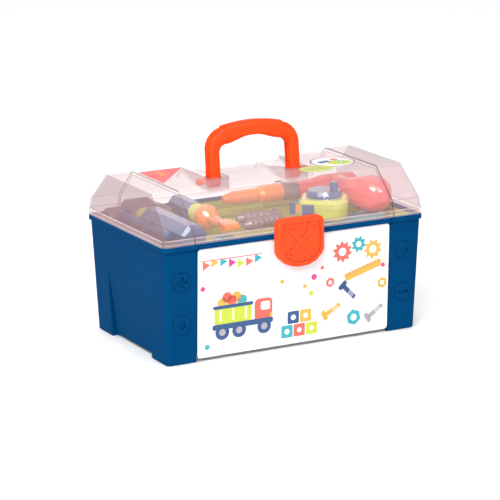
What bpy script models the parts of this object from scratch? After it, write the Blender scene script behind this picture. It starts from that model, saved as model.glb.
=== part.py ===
"""A toy tool box with its tray of play tools.

Metres, +Z up. X runs along the box, its door and latch face -Y, and the
origin lies on the ground under the middle of the box.
"""
import math

import bmesh
import bpy
from mathutils import Matrix, Vector

# Clearances
FIT_GAP = 0.0003
LABEL_GAP = 0.00025
OVERRUN = 0.001
LONG_OVERRUN = 0.060

# Tub
RIM_LENGTH = 0.2840
RIM_DEPTH = 0.1688
RIM_HEIGHT = 0.1164
RIM_BAND = 0.0049
RIM_OVERHANG = 0.0022
RIM_EDGE = 0.0007
RIM_CORNER = 0.0062
FOOT_LENGTH = 0.2726
FOOT_DEPTH = 0.1550
FOOT_EDGE = 0.0014
FOOT_CORNER = 0.0050
WALL = 0.0024
FLOOR_UNDERSIDE = 0.0030
FLOOR_THICKNESS = 0.0024
POST_WIDTH = 0.0308
POST_DEPTH = 0.0325
SCOOP_HEIGHT = 0.0700
SCOOP_DEPTH = 0.0050
SILL_HEIGHT = 0.0110
POST_RETURN_DEPTH = 0.0160

# Raised fasteners on the posts
STUD_X = 0.1212
STUD_HIGH = 0.0814
STUD_LOW = 0.0392
STUD_RADIUS = 0.0089
STUD_HEXAGON_RADIUS = 0.0096
STUD_HEIGHT = 0.0011
STUD_SLOT = 0.0030
STUD_HOLE = 0.0040

# Door
DOOR_GAP = 0.0010
DOOR_RECESS = 0.0010
DOOR_THICKNESS = 0.0022
DOOR_BOTTOM = 0.0090
DOOR_RAIL_DEPTH = 0.0085
DOOR_RAIL_HEIGHT = 0.0140
DOOR_BAND_DEPTH = 0.0057
DOOR_FLANGE_DEPTH = 0.0070
DOOR_RIB_X = 0.0350
DOOR_AXIS_Y = -0.0715
DOOR_AXIS_Z = 0.0165
DOOR_PEG_RADIUS = 0.0028
DOOR_PEG_LENGTH = 0.0036
PEG_CLEARANCE = 0.0004
DOOR_SWEEP_GAP = 0.0012

# Printed card on the door
CARD_THICKNESS = 0.0005
CARD_BOTTOM = 0.0035
CARD_TOP = 0.1105
CARD_SIDE_GAP = 0.0003
CARD_CORNER = 0.0030
CARD_NOTCH_WIDTH = 0.0380
CARD_NOTCH_BOTTOM = 0.0905

# Latch
LATCH_WIDTH = 0.0496
LATCH_BOTTOM = 0.0836
LATCH_TOP = 0.1310
LATCH_DEPTH = 0.0095
LATCH_WALL = 0.0018
LATCH_EDGE = 0.0014
LATCH_PANEL_BORDER = 0.0045
LATCH_PANEL_DEPTH = 0.0009
LATCH_AXIS_Z = 0.0900
LATCH_AXIS_SETBACK = 0.0059
LATCH_PIN_RADIUS = 0.0015
LATCH_KNUCKLE_RADIUS = 0.0029
LATCH_KNUCKLE_WIDTH = 0.0160
LATCH_CHEEK = 0.0030
LATCH_CHEEK_GAP = 0.0005
LATCH_ARM_RISE = 0.0080
LATCH_ARM_HEIGHT = 0.0090
LATCH_BEAD_Z = 0.1195
LATCH_BEAD_HEIGHT = 0.0020
EMBLEM_HEIGHT_SHARE = 0.53
EMBLEM_REACH_SHARE = 0.34
EMBLEM_SHAFT_SHARE = 0.046
EMBLEM_GRIP_SHARE = 0.078
LATCH_OUTLINE_SHARES = (
    (0.00, 0.000), (0.33, 0.016), (0.64, 0.075), (0.91, 0.215), (1.00, 0.310),
    (1.00, 0.800), (0.99, 0.900), (0.93, 0.975), (0.80, 1.000),
)

# Tray
TRAY_SINK = 0.0030
TRAY_FLANGE = 0.0014
TRAY_WALL_GAP = 0.0022
TRAY_LEDGE = 0.0055
TRAY_LEDGE_HEIGHT = 0.0030
TRAY_FLOOR_TOP = 0.1000
TRAY_WALL = 0.0018
TRAY_DRAFT = 0.0016
TRAY_CORNER = 0.0070
TRAY_HOLE_RADIUS = 0.0055
TRAY_HOLE_X = 0.0280
TRAY_HOLE_Y = 0.0530
TRAY_RIDGE_X = 0.0170
TRAY_RIDGE_HALF_LENGTH = 0.0260
TRAY_RIDGE_HALF_WIDTH = 0.0060
TRAY_RIDGE_HEIGHT = 0.0080
TRAY_RIDGE_BACK_GAP = 0.0030
TRAY_RIDGE_EDGE = 0.0008

# Lid
LID_BAND_HEIGHT = 0.0057
LID_WALL = 0.0018
LID_INSET = 0.0020
LID_KINK_Z = 0.1327
LID_KINK_INSET = 0.0012
LID_TOP_Z = 0.1616
LID_TOP_HALF_DEPTH = 0.0498
LID_END_DRAFT = 0.0040
LID_END_CHAMFER = 0.0008
LID_END_BAND = 0.0338
LID_STEP = 0.0023
LID_STEP_RUN = 0.0008
WELL_HALF_LENGTH = 0.0546
WELL_BLOCK_HALF = 0.0330
WELL_FRONT_Y = -0.0100
WELL_BOTTOM_Z = 0.1466
WELL_RAMP_Y = 0.0095
WELL_RAMP_TOP_Z = 0.1597
WELL_BACK_Y = 0.0600
SCOOP_OUTLINE_SHARES = ((0.03, 0.00), (0.17, 0.17), (0.34, 0.50), (0.50, 0.83), (0.67, 0.96))
SCOOP_FALL = 0.0059

# Lid hinge
HINGE_SETBACK = 0.0012
HINGE_RADIUS = 0.0044
HINGE_AXIS_RISE = 0.0022
HINGE_STATION_X = 0.0850
HINGE_KNUCKLE_WIDTH = 0.0112
HINGE_EAR_WIDTH = 0.0056
HINGE_SIDE_GAP = 0.0004
HINGE_PIN_RADIUS = 0.0019

# Carrying handle
HANDLE_HALF_SPAN = 0.0439
HANDLE_HEIGHT = 0.0456
HANDLE_CROWN = 0.0030
HANDLE_BEND = 0.0150
HANDLE_AXIS_Y = 0.0020
HANDLE_AXIS_Z = 0.1540
HANDLE_LEAN = math.radians(5)
HANDLE_LEG_HALF_WIDTH = 0.0057
HANDLE_HALF_DEPTH = 0.0070
HANDLE_GRIP_RISE = 0.0085
HANDLE_GRIP_DROP = 0.0081
HANDLE_GRIP_ARCH = 0.0030
HANDLE_GRIP_HALF_DEPTH = 0.0078
HANDLE_GRIP_HALF_LENGTH = 0.0300
HANDLE_GRIP_LIP = 0.0011
HANDLE_PIN_RADIUS = 0.0032
HANDLE_PIN_REACH = 0.0615
HANDLE_GROOVE_DEPTH = 0.0012
HANDLE_GROOVE_HALF_WIDTH = 0.0040
HANDLE_GROOVE_BOTTOM = 0.0090
HANDLE_SQUARENESS_SHARE = 0.42
HANDLE_GRIP_SHARES = ((1.0, 0.0, 0.0), (0.985, 0.0, 1.0), (0.82, 0.0, 1.0), (0.62, 0.30, 1.0),
                      (0.40, 0.75, 1.0), (0.20, 0.97, 1.0))

# Labels on the lid
LABEL_THICKNESS = 0.0003
TRIANGLE_LENGTH = 0.0467
TRIANGLE_DEPTH = 0.0546
TRIANGLE_MARGIN = 0.0062
OVAL_LABEL_WELL_GAP = 0.0053
OVAL_LABEL_STEP_GAP = 0.0011
OVAL_LABEL_HALF_DEPTH = 0.0232
OVAL_LABEL_Y = -0.0070
SMALL_LABEL_HALF = (0.0180, 0.0118)
SMALL_LABEL_PLACE = (0.0535, -0.0272)

# Room left round the laid-out play set
PLAY_END_GAP = 0.0011
PLAY_SIDE_GAP = 0.0011

# Play hammer, lying along Y
HAMMER_PLACE = (-0.0985, 0.0593)
HAMMER_FACE_RADIUS = 0.0095
HAMMER_FACE_REACH = 0.0338
HAMMER_BODY_RADIUS = 0.0155
HAMMER_BODY_HALF = 0.0125
HAMMER_CLAW_REACH = 0.0310
HAMMER_CLAW_DROP = 0.0100
HAMMER_COLLAR_RADIUS = 0.0100
HAMMER_COLLAR_LENGTH = 0.0150
HAMMER_GRIP_RADIUS = 0.0145
HAMMER_GRIP_LENGTH = 0.0930

# Play screwdriver, lying along Y
SCREWDRIVER_PLACE = (-0.0515, 0.0690)
SCREWDRIVER_GRIP_RADIUS = 0.0102
SCREWDRIVER_GRIP_LENGTH = 0.0440
SCREWDRIVER_COLLAR_RADIUS = 0.0095
SCREWDRIVER_COLLAR_LENGTH = 0.0110
BIT_BALL_RADIUS = 0.0125
BIT_NECK_RADIUS = 0.0050
BIT_NECK_LENGTH = 0.0220
BIT_BLADE_LENGTH = 0.0240
BIT_BLADE_HALF_WIDTH = 0.0085
BIT_BLADE_HALF_HEIGHT = 0.0045

# Toy power drill, lying on its side
DRILL_PLACE = (0.0592, 0.0230)
DRILL_BARREL_LENGTH = 0.0680
DRILL_BARREL_RADIUS = 0.0118
DRILL_BARREL_SHARES = ((0.00, 0.76), (0.03, 0.80), (0.30, 0.84), (0.40, 0.95), (0.50, 1.00),
                       (0.86, 1.00), (0.95, 0.90), (1.00, 0.66))
DRILL_GRIP_REACH = 0.0735
DRILL_GRIP_HALF_WIDTH = 0.0170
DRILL_HALF_THICKNESS = 0.0180
DRILL_SQUARENESS_SHARE = 0.78
DRILL_WALL = 0.0020
DRILL_GRIP_SHARES = (
    (0.00, 0.66, 0.68, 0.60), (0.26, 0.67, 0.66, 0.62), (0.40, 0.72, 0.72, 0.70),
    (0.58, 0.79, 0.92, 0.92), (0.70, 0.82, 1.00, 1.00), (0.82, 0.83, 0.97, 0.97),
    (0.91, 0.83, 0.84, 0.84), (0.97, 0.83, 0.62, 0.62), (1.00, 0.83, 0.34, 0.34),
)
CHUCK_RADIUS = 0.0092
CHUCK_LENGTH = 0.0176
CHUCK_SHAFT_RADIUS = 0.0034
CHUCK_COLLAR_RADIUS = 0.0058
CHUCK_COLLAR_LENGTH = 0.0030
DRILL_BIT_RADIUS = 0.0091
DRILL_BIT_LENGTH = 0.0650
TRIGGER_HALF_HEIGHT = 0.0036
TRIGGER_REACH = 0.0045
TRIGGER_LENGTH = 0.0100
TRIGGER_STEM = 0.0045
TRIGGER_TRAVEL = 0.0035
TRIGGER_GAP = 0.0005
SPRING_RADIUS = 0.0022
SPRING_BORE = 0.0014

# Toy tape measure, lying flat
TAPE_PLACE = (0.0638, -0.0250)
TAPE_TURN = math.radians(-33)
TAPE_HALF = 0.0240
TAPE_CORNER = 0.0145
TAPE_HEIGHT = 0.0205
TAPE_WALL = 0.0018
TAPE_EDGE = 0.0030
TAPE_DISC_RADIUS = 0.0178
TAPE_DISC_TOP_RADIUS = 0.0158
TAPE_DISC_HEIGHT = 0.0064
TAPE_AXLE_RADIUS = 0.0050
TAPE_COIL_RADIUS = 0.0165
TAPE_COIL_HEIGHT = 0.0100
TAPE_KNOB_RADIUS = 0.0042
TAPE_KNOB_HEIGHT = 0.0078
TAPE_KNOB_OFFSET = 0.0095
TAPE_STRIP_HALF_HEIGHT = 0.0042
TAPE_STRIP_THICKNESS = 0.0012
TAPE_STRIP_LENGTH = 0.0034
TAPE_STRIP_SHARE = 0.45
TAPE_LOCK_SHARE = 0.60
TAPE_TAB_LENGTH = 0.0055
TAPE_TAB_HALF_HEIGHT = 0.0060
TAPE_TAB_THICKNESS = 0.0042
TAPE_LOCK_HALF_WIDTH = 0.0058
TAPE_LOCK_REACH = 0.0032

# Play wrench and pliers
WRENCH_THICKNESS = 0.0100
WRENCH_LENGTH = 0.1080
WRENCH_PLACE = (0.0730, -0.0290)
WRENCH_TURN = math.radians(-4)
WRENCH_HALF_WIDTH = 0.0165
WRENCH_OUTLINE_SHARES = (
    (-0.50, 0.42), (-0.44, 0.92), (-0.34, 1.00), (-0.25, 0.78), (-0.16, 0.52), (0.22, 0.46),
    (0.34, 0.62), (0.43, 0.64), (0.50, 0.34), (0.50, -0.34), (0.43, -0.64), (0.34, -0.62),
    (0.22, -0.46), (-0.16, -0.52), (-0.25, -0.78), (-0.34, -1.00), (-0.44, -0.92), (-0.50, -0.42),
    (-0.40, -0.40), (-0.345, 0.00), (-0.40, 0.40),
)
WRENCH_EYE_RADIUS = 0.0050
WRENCH_EYE_SHARE = 0.405
PLIERS_THICKNESS = 0.0100
PLIERS_LENGTH = 0.1200
PLIERS_PLACE = (-0.0300, 0.0150)
PLIERS_TURN = math.radians(-20)
PLIERS_BOSS_RADIUS = 0.0110
PLIERS_RIVET_RADIUS = 0.0035
PLIERS_RIVET_HEAD = 0.0055
PLIERS_RIVET_HEAD_HEIGHT = 0.0012
PLIERS_HANDLE_SHARES = (
    (-0.02, -0.020), (0.10, -0.075), (0.26, -0.150), (0.44, -0.175), (0.64, -0.140),
    (0.64, -0.070), (0.45, -0.100), (0.28, -0.078), (0.14, -0.034), (0.02, 0.020),
)
PLIERS_JAW_SHARES = ((0.04, 0.080), (-0.10, 0.125), (-0.26, 0.110), (-0.36, 0.050),
                     (-0.36, 0.006), (-0.06, 0.006))

# Bolts and nuts
BOLT_HEAD_RADIUS = 0.0065
BOLT_HEAD_HEIGHT = 0.0058
BOLT_SHANK_RADIUS = 0.0042
BOLT_LENGTH = 0.0460
BOLT_RIBS = 5
BOLT_RIB = 0.0008
SIDE_BOLT_WALL_GAP = 0.0010
SIDE_BOLT_STEP = 0.0055
SIDE_BOLT_BACK_Y = 0.0482
SIDE_BOLT_SPACING = 0.0075
NUT_RADIUS = 0.0120
NUT_HEIGHT = 0.0085
NUT_BORE = 0.0050
TRAY_NUT_PLACES = ((-0.0560, 0.0500), (0.0850, 0.0500), (0.1180, 0.0480), (-0.0560, -0.0440))
FLOOR_NUT_PLACES = ((0.0850, 0.0200), (-0.0900, -0.0200))
TRAY_BOLT_PLACES = ((-0.0130, -0.0640, 98), (0.0380, 0.0200, -95), (0.0300, 0.0020, -80))
FLOOR_BOLT_PLACES = ((0.0600, -0.0300, 80),)

OCTAGON_FLAT = math.cos(math.pi / 8)

BLUE = (0.000, 0.098, 0.235)
ORANGE = (1.000, 0.120, 0.022)
LIME = (0.680, 0.680, 0.100)
CORAL = (1.000, 0.130, 0.090)
TEAL = (0.000, 0.420, 0.480)
AMBER = (1.000, 0.420, 0.090)
GREY = (0.420, 0.390, 0.410)
CLEAR = (0.900, 0.860, 0.860)
PAPER = (0.960, 0.950, 0.940)


# Shapes
def clear_scene():
    """Removes every object that the scene holds."""
    for item in list(bpy.data.objects):
        bpy.data.objects.remove(item, do_unlink=True)


def material(name, colour, roughness, alpha=1.0):
    """A plain plastic or paper of one colour."""
    result = bpy.data.materials.new(name)
    result.use_nodes = True
    shader = result.node_tree.nodes["Principled BSDF"]
    shader.inputs["Base Color"].default_value = (*colour, 1.0)
    shader.inputs["Roughness"].default_value = roughness
    shader.inputs["Metallic"].default_value = 0.0
    shader.inputs["Alpha"].default_value = alpha
    return result


def skin(name, rings):
    """A closed body skinned over rings of points, capped at both ends."""
    bm = bmesh.new()
    loops = [[bm.verts.new(point) for point in ring] for ring in rings]
    count = len(rings[0])
    for lower, upper in zip(loops, loops[1:]):
        for index in range(count):
            after = (index + 1) % count
            bm.faces.new((lower[index], lower[after], upper[after], upper[index]))
    bm.faces.new(tuple(reversed(loops[0])))
    bm.faces.new(tuple(loops[-1]))
    bmesh.ops.recalc_face_normals(bm, faces=bm.faces)
    mesh = bpy.data.meshes.new(name)
    bm.to_mesh(mesh)
    bm.free()
    body = bpy.data.objects.new(name, mesh)
    bpy.context.scene.collection.objects.link(body)
    return body


def along_x(outline, x):
    """Ring of a (y, z) outline at one x."""
    return [Vector((x, y, z)) for y, z in outline]


def along_y(outline, y):
    """Ring of an (x, z) outline at one y."""
    return [Vector((x, y, z)) for x, z in outline]


def along_z(outline, z):
    """Ring of an (x, y) outline at one z."""
    return [Vector((x, y, z)) for x, y in outline]


def prism(name, ring_maker, outline, low, high):
    """A straight body of one outline between two places on an axis."""
    return skin(name, [ring_maker(outline, low), ring_maker(outline, high)])


def box(name, low, high):
    """A box between two corners."""
    outline = ((low[0], low[1]), (high[0], low[1]), (high[0], high[1]), (low[0], high[1]))
    return prism(name, along_z, outline, low[2], high[2])


def circle(centre, radius, sides, phase=0.5):
    """Points of a circle round a centre, in its plane."""
    turn = 2 * math.pi / sides
    return [(centre[0] + radius * math.cos(turn * (index + phase)),
             centre[1] + radius * math.sin(turn * (index + phase))) for index in range(sides)]


def rounded_ring(squareness, sides):
    """Points about zero between a circle and a square, one unit out."""
    return [(math.copysign(abs(u) ** squareness, u), math.copysign(abs(v) ** squareness, v))
            for u, v in circle((0, 0), 1, sides)]


def arc(centre, radius, start, end, steps):
    """Points on an arc, angles in degrees."""
    angles = [math.radians(start + (end - start) * index / steps) for index in range(steps + 1)]
    return [(centre[0] + radius * math.cos(angle), centre[1] + radius * math.sin(angle))
            for angle in angles]


def rounded_rectangle(half_x, half_y, radius, steps=4):
    """Outline of a rectangle about zero with round corners."""
    points = []
    for sign_x, sign_y, start in ((1, -1, -90), (1, 1, 0), (-1, 1, 90), (-1, -1, 180)):
        centre = (sign_x * (half_x - radius), sign_y * (half_y - radius))
        points += arc(centre, radius, start, start + 90, steps)
    return points


def inset(outline, distance):
    """The outline with each side moved inward, for points that run anticlockwise."""
    count = len(outline)
    moved = []
    for index in range(count):
        before = Vector(outline[index - 1])
        here = Vector(outline[index])
        after = Vector(outline[(index + 1) % count])
        first = (here - before).normalized()
        second = (after - here).normalized()
        normal = Vector((-first.y - second.y, first.x + second.x))
        reach = distance * 2 / max(normal.length_squared, 0.4)
        moved.append(tuple(here + normal * reach))
    return moved


def turned(name, profile, sides, centre=(0.0, 0.0, 0.0), axis="Z", phase=0.0):
    """A body of revolution from (distance along the axis, radius) pairs."""
    rings = []
    for place, radius in profile:
        ring = []
        for index in range(sides):
            angle = 2 * math.pi * (index + phase) / sides
            u, v = radius * math.cos(angle), radius * math.sin(angle)
            local = {"X": (place, u, v), "Y": (v, place, u), "Z": (u, v, place)}[axis]
            ring.append(Vector(centre) + Vector(local))
        rings.append(ring)
    return skin(name, rings)


def cylinder(name, axis, centre, radius, low, high, sides=20):
    """A straight round body; low and high lie along its axis, from its centre."""
    return turned(name, ((low, radius), (high, radius)), sides, centre, axis, 0.5)


def bake(body):
    """Turns an object's modifiers into its mesh."""
    graph = bpy.context.evaluated_depsgraph_get()
    mesh = bpy.data.meshes.new_from_object(body.evaluated_get(graph))
    body.modifiers.clear()
    body.data = mesh


def boolean(body, tools, operation):
    """Joins or cuts a body with others, which are used up."""
    for tool in tools:
        modifier = body.modifiers.new(operation, "BOOLEAN")
        modifier.operation = operation
        modifier.solver = "EXACT"
        modifier.object = tool
        bake(body)
        bpy.data.objects.remove(tool, do_unlink=True)
    return body


def unite(body, *tools):
    """One body from several that overlap."""
    return boolean(body, tools, "UNION")


def cut(body, *tools):
    """A body less its cutters."""
    return boolean(body, tools, "DIFFERENCE")


def soften(body, width, segments=1, angle=40):
    """Bevels the sharp edges of a body."""
    modifier = body.modifiers.new("edge", "BEVEL")
    modifier.width = width
    modifier.segments = segments
    modifier.limit_method = "ANGLE"
    modifier.angle_limit = math.radians(angle)
    bake(body)
    return body


def finish(body, surface, origin=(0.0, 0.0, 0.0), smooth_angle=35):
    """Gives a body its material, its origin and its shading."""
    body.data.transform(Matrix.Translation(-Vector(origin)))
    body.location = Vector(origin)
    body.data.materials.clear()
    body.data.materials.append(surface)
    body.data.shade_smooth()
    body.data.set_sharp_from_angle(angle=math.radians(smooth_angle))
    return body


def place(body, location, turn=0.0):
    """Puts a body, made about zero, in its place."""
    body.location = Vector(location)
    body.rotation_euler = (0.0, 0.0, turn)
    return body


def attach(child, parent):
    """Parents a body and keeps it where it is."""
    bpy.context.view_layer.update()
    child.parent = parent
    child.matrix_parent_inverse = parent.matrix_world.inverted()


# Places that several pieces share
def mirror_x(points):
    """The right half of an (x, z) outline with its mirror image, anticlockwise."""
    left = [(-x, z) for x, z in reversed(points)]
    if points[0][0] == 0:
        left = left[:-1]
    return list(points) + left


POST_INNER = FOOT_LENGTH / 2 - POST_WIDTH
WALL_TOP = RIM_HEIGHT - RIM_BAND
WALL_HALF_LENGTH = RIM_LENGTH / 2 - RIM_OVERHANG
WALL_HALF_DEPTH = RIM_DEPTH / 2 - RIM_OVERHANG
FLOOR_TOP = FLOOR_UNDERSIDE + FLOOR_THICKNESS
HINGE_AXIS_Y = RIM_DEPTH / 2 + HINGE_SETBACK + HINGE_RADIUS
HINGE_AXIS_Z = RIM_HEIGHT + HINGE_AXIS_RISE
FRONT_REACH = HINGE_AXIS_Y + HINGE_RADIUS
LATCH_AXIS_Y = LATCH_AXIS_SETBACK - FRONT_REACH
LID_BAND_BOTTOM = RIM_HEIGHT + FIT_GAP
LID_BAND_TOP = LID_BAND_BOTTOM + LID_BAND_HEIGHT
PLATEAU_Z = LID_TOP_Z - LID_STEP
TRAY_TOP = RIM_HEIGHT - TRAY_SINK
TRAY_BOTTOM = TRAY_FLOOR_TOP - TRAY_WALL
LEDGE_TOP = TRAY_BOTTOM - FIT_GAP
BAND_INNER_X = RIM_LENGTH / 2 - LID_END_BAND


def wall_share(z):
    """How far up the drafted wall a height lies, from 0 to 1."""
    return (z - FOOT_EDGE) / (WALL_TOP - FOOT_EDGE)


def wall_half_depth(z):
    """Distance of the front wall's outer face from the middle."""
    return FOOT_DEPTH / 2 + (WALL_HALF_DEPTH - FOOT_DEPTH / 2) * wall_share(z)


def wall_half_length(z):
    """Distance of the end wall's outer face from the middle."""
    return FOOT_LENGTH / 2 + (WALL_HALF_LENGTH - FOOT_LENGTH / 2) * wall_share(z)


def wall_ring(z, inward):
    """Ring of the drafted wall at a height, moved inward."""
    radius = FOOT_CORNER + (RIM_CORNER - RIM_OVERHANG - FOOT_CORNER) * wall_share(z) - inward
    return along_z(rounded_rectangle(wall_half_length(z) - inward, wall_half_depth(z) - inward,
                                     radius), z)


# Tub
def rim_outline(inward):
    """Outline of the rim band, moved inward."""
    return rounded_rectangle(RIM_LENGTH / 2 - inward, RIM_DEPTH / 2 - inward, RIM_CORNER - inward)


def scoop_cutters(inward, lift):
    """Wedges that hollow the ends and the back between the feet, fading out upward."""
    top = SCOOP_HEIGHT + lift

    def slope(foot, fade):
        base = foot - SCOOP_DEPTH - inward
        return ((base, -OVERRUN), (foot + LONG_OVERRUN, -OVERRUN), (foot + LONG_OVERRUN, top),
                (fade - inward, top))

    half_side = FOOT_DEPTH / 2 - POST_DEPTH + lift
    half_back = POST_INNER + lift
    wedges = []
    end = slope(FOOT_LENGTH / 2, wall_half_length(top))
    for side in (-1, 1):
        outline = [(side * x, z) for x, z in end]
        wedges.append(prism("end_scoop", along_y, outline, -half_side, half_side))
    back = slope(FOOT_DEPTH / 2, wall_half_depth(top))
    wedges.append(prism("back_scoop", along_x, back, -half_back, half_back))
    return wedges


def stud(x, z, style):
    """A raised fastener head on a post, with its drive cut in."""
    front = -wall_half_depth(z)
    outline = circle((x, z), STUD_RADIUS, 20)
    if style in ("hexagon", "nut"):
        outline = circle((x, z), STUD_HEXAGON_RADIUS, 6, 0.0)
    slope = (wall_half_depth(z + STUD_RADIUS) - wall_half_depth(z - STUD_RADIUS)) / 2 / STUD_RADIUS
    tops = []
    for ring, reach in ((outline, -WALL / 2), (outline, STUD_HEIGHT / 2),
                        (inset(outline, STUD_HEIGHT / 2), STUD_HEIGHT)):
        tops.append([Vector((px, front - reach - slope * (pz - z), pz)) for px, pz in ring])
    head = skin("stud", tops)
    low = front - STUD_HEIGHT - OVERRUN
    high = front - STUD_HEIGHT * 0.1
    half = STUD_SLOT / 2
    arm = STUD_RADIUS * 0.62
    if style == "nut":
        return cut(head, cylinder("bore", "Y", (x, 0.0, z), STUD_HOLE, low, high, 16))
    if style == "socket":
        return cut(head, prism("socket", along_y, circle((x, z), STUD_HOLE, 6), low, high))
    bars = [(arm, half)] if style == "slot" else [(arm, half), (half, arm)]
    for wide, tall in bars:
        cut(head, box("slot", (x - wide, low, z - tall), (x + wide, high, z + tall)))
    return head


def hinge_lug(name, x_low, x_high, base_low, shoulder):
    """A rounded lug that reaches from the rim to the lid's hinge axis."""
    root_y = RIM_DEPTH / 2 - RIM_OVERHANG / 2
    nose = arc((HINGE_AXIS_Y, HINGE_AXIS_Z), HINGE_RADIUS, -80, 130, 10)
    outline = [(root_y, base_low), (RIM_DEPTH / 2, base_low)] + nose + shoulder
    return prism(name, along_x, outline, x_low, x_high)


def hinge_bore(x, length, radius):
    """A cutter on the lid's hinge axis."""
    return cylinder("hinge_bore", "X", (x, HINGE_AXIS_Y, HINGE_AXIS_Z), radius, -length, length, 16)


def base_tub(surface):
    """The blue tub: corner posts, scooped walls, floor, sill and hinge ears."""
    rings = [along_z(rounded_rectangle(FOOT_LENGTH / 2 - FOOT_EDGE, FOOT_DEPTH / 2 - FOOT_EDGE,
                                       FOOT_CORNER - FOOT_EDGE), 0.0),
             wall_ring(FOOT_EDGE, 0.0), wall_ring(WALL_TOP, 0.0),
             along_z(rim_outline(0.0), WALL_TOP),
             along_z(rim_outline(0.0), RIM_HEIGHT - RIM_EDGE),
             along_z(rim_outline(RIM_EDGE), RIM_HEIGHT)]
    tub = skin("base_tub", rings)
    cavity = skin("cavity", [wall_ring(FLOOR_TOP, WALL), wall_ring(RIM_HEIGHT + OVERRUN, WALL)])
    cut(cavity, *scoop_cutters(WALL, WALL))
    cut(tub, cavity, *scoop_cutters(0.0, 0.0))
    unite(tub, tray_ledge())
    inner_y = FOOT_DEPTH / 2 - POST_DEPTH
    far = RIM_LENGTH
    cut(tub, box("under_ends", (-far, -inner_y, -OVERRUN), (far, inner_y, FLOOR_UNDERSIDE)),
        box("under_sides", (-POST_INNER, -far, -OVERRUN), (POST_INNER, far, FLOOR_UNDERSIDE)),
        box("front_opening", (-POST_INNER, -far, -OVERRUN),
            (POST_INNER, sill_front(), RIM_HEIGHT + OVERRUN)))
    sill = box("sill", (-POST_INNER - WALL / 2, sill_front(), FLOOR_UNDERSIDE),
               (POST_INNER + WALL / 2, sill_front() + WALL, FLOOR_TOP + SILL_HEIGHT))
    unite(tub, sill)
    for side in (-1, 1):
        unite(tub, post_return(side))
        cut(tub, cylinder("peg_hole", "X", (side * POST_INNER, DOOR_AXIS_Y, DOOR_AXIS_Z),
                          DOOR_PEG_RADIUS + PEG_CLEARANCE, -WALL - OVERRUN, WALL + OVERRUN, 16))
    unite(tub, stud(-STUD_X, STUD_HIGH, "hexagon"), stud(-STUD_X, STUD_LOW, "socket"),
          stud(STUD_X, STUD_HIGH, "nut"), stud(STUD_X, STUD_LOW, "slot"))
    for station in (-HINGE_STATION_X, HINGE_STATION_X):
        for side in (-1, 1):
            near = station + side * (HINGE_KNUCKLE_WIDTH / 2 + HINGE_SIDE_GAP)
            far_x = near + side * HINGE_EAR_WIDTH
            shoulder = [(RIM_DEPTH / 2 + RIM_EDGE, HINGE_AXIS_Z),
                        (RIM_DEPTH / 2 + RIM_EDGE, RIM_HEIGHT - RIM_EDGE),
                        (RIM_DEPTH / 2 - RIM_OVERHANG / 2, RIM_HEIGHT - RIM_EDGE)]
            unite(tub, hinge_lug("ear", min(near, far_x), max(near, far_x), WALL_TOP, shoulder))
        cut(tub, hinge_bore(station, HINGE_EAR_WIDTH + HINGE_KNUCKLE_WIDTH,
                            HINGE_PIN_RADIUS + FIT_GAP))
    return finish(tub, surface)


def tray_ledge():
    """The ledge inside the walls that the tray stands on."""
    low = LEDGE_TOP - TRAY_LEDGE_HEIGHT
    ledge = skin("tray_ledge", [wall_ring(low, WALL / 2), wall_ring(LEDGE_TOP, WALL / 2)])
    inward = WALL + TRAY_LEDGE
    return cut(ledge, skin("ledge_hole", [wall_ring(low - OVERRUN, inward),
                                          wall_ring(LEDGE_TOP + OVERRUN, inward)]))


def post_return(side):
    """The wall behind a front post's inner edge, which holds the door's peg."""
    low_z = FLOOR_UNDERSIDE
    high_z = TRAY_BOTTOM - WALL
    back = DOOR_AXIS_Y + POST_RETURN_DEPTH / 2
    front_low = -wall_half_depth(low_z) + WALL / 2
    front_high = -wall_half_depth(high_z) + WALL / 2
    outline = ((front_low, low_z), (back, low_z), (back, high_z), (front_high, high_z))
    inner = POST_INNER
    outer = POST_INNER + WALL
    return prism("post_return", along_x, outline, min(side * inner, side * outer),
                 max(side * inner, side * outer))


# Door
def door_front(z):
    """The y of the door's front face at a height."""
    return -wall_half_depth(z) + DOOR_RECESS


def card_front(z):
    """The y of the printed card's front face at a height."""
    return door_front(z) - LABEL_GAP - CARD_THICKNESS


def sill_front():
    """The y of the sill, clear of the door's lower edge as it swings."""
    card_sweep = math.hypot(card_front(CARD_BOTTOM) - DOOR_AXIS_Y, CARD_BOTTOM - DOOR_AXIS_Z)
    rail_back = door_front(DOOR_BOTTOM) + DOOR_RAIL_DEPTH
    rail_sweep = math.hypot(rail_back - DOOR_AXIS_Y, DOOR_BOTTOM - DOOR_AXIS_Z)
    return DOOR_AXIS_Y + max(card_sweep, rail_sweep) + DOOR_SWEEP_GAP


def latch_knuckle():
    """The arm on the door that carries the latch's pin."""
    centre = (LATCH_AXIS_Y, LATCH_AXIS_Z)
    root_low = LATCH_AXIS_Z + LATCH_ARM_RISE
    root_high = root_low + LATCH_ARM_HEIGHT
    inside = DOOR_THICKNESS / 2
    nose = arc(centre, LATCH_KNUCKLE_RADIUS, 135, 330, 10)
    outline = nose + [(door_front(root_low) + inside, root_low),
                      (door_front(root_high) + inside, root_high)]
    half = LATCH_KNUCKLE_WIDTH / 2
    arm = prism("latch_arm", along_x, outline, -half, half)
    bore = cylinder("pin_bore", "X", (0.0, *centre), LATCH_PIN_RADIUS + FIT_GAP,
                    -LATCH_KNUCKLE_WIDTH, LATCH_KNUCKLE_WIDTH, 12)
    return cut(arm, bore)


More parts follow.
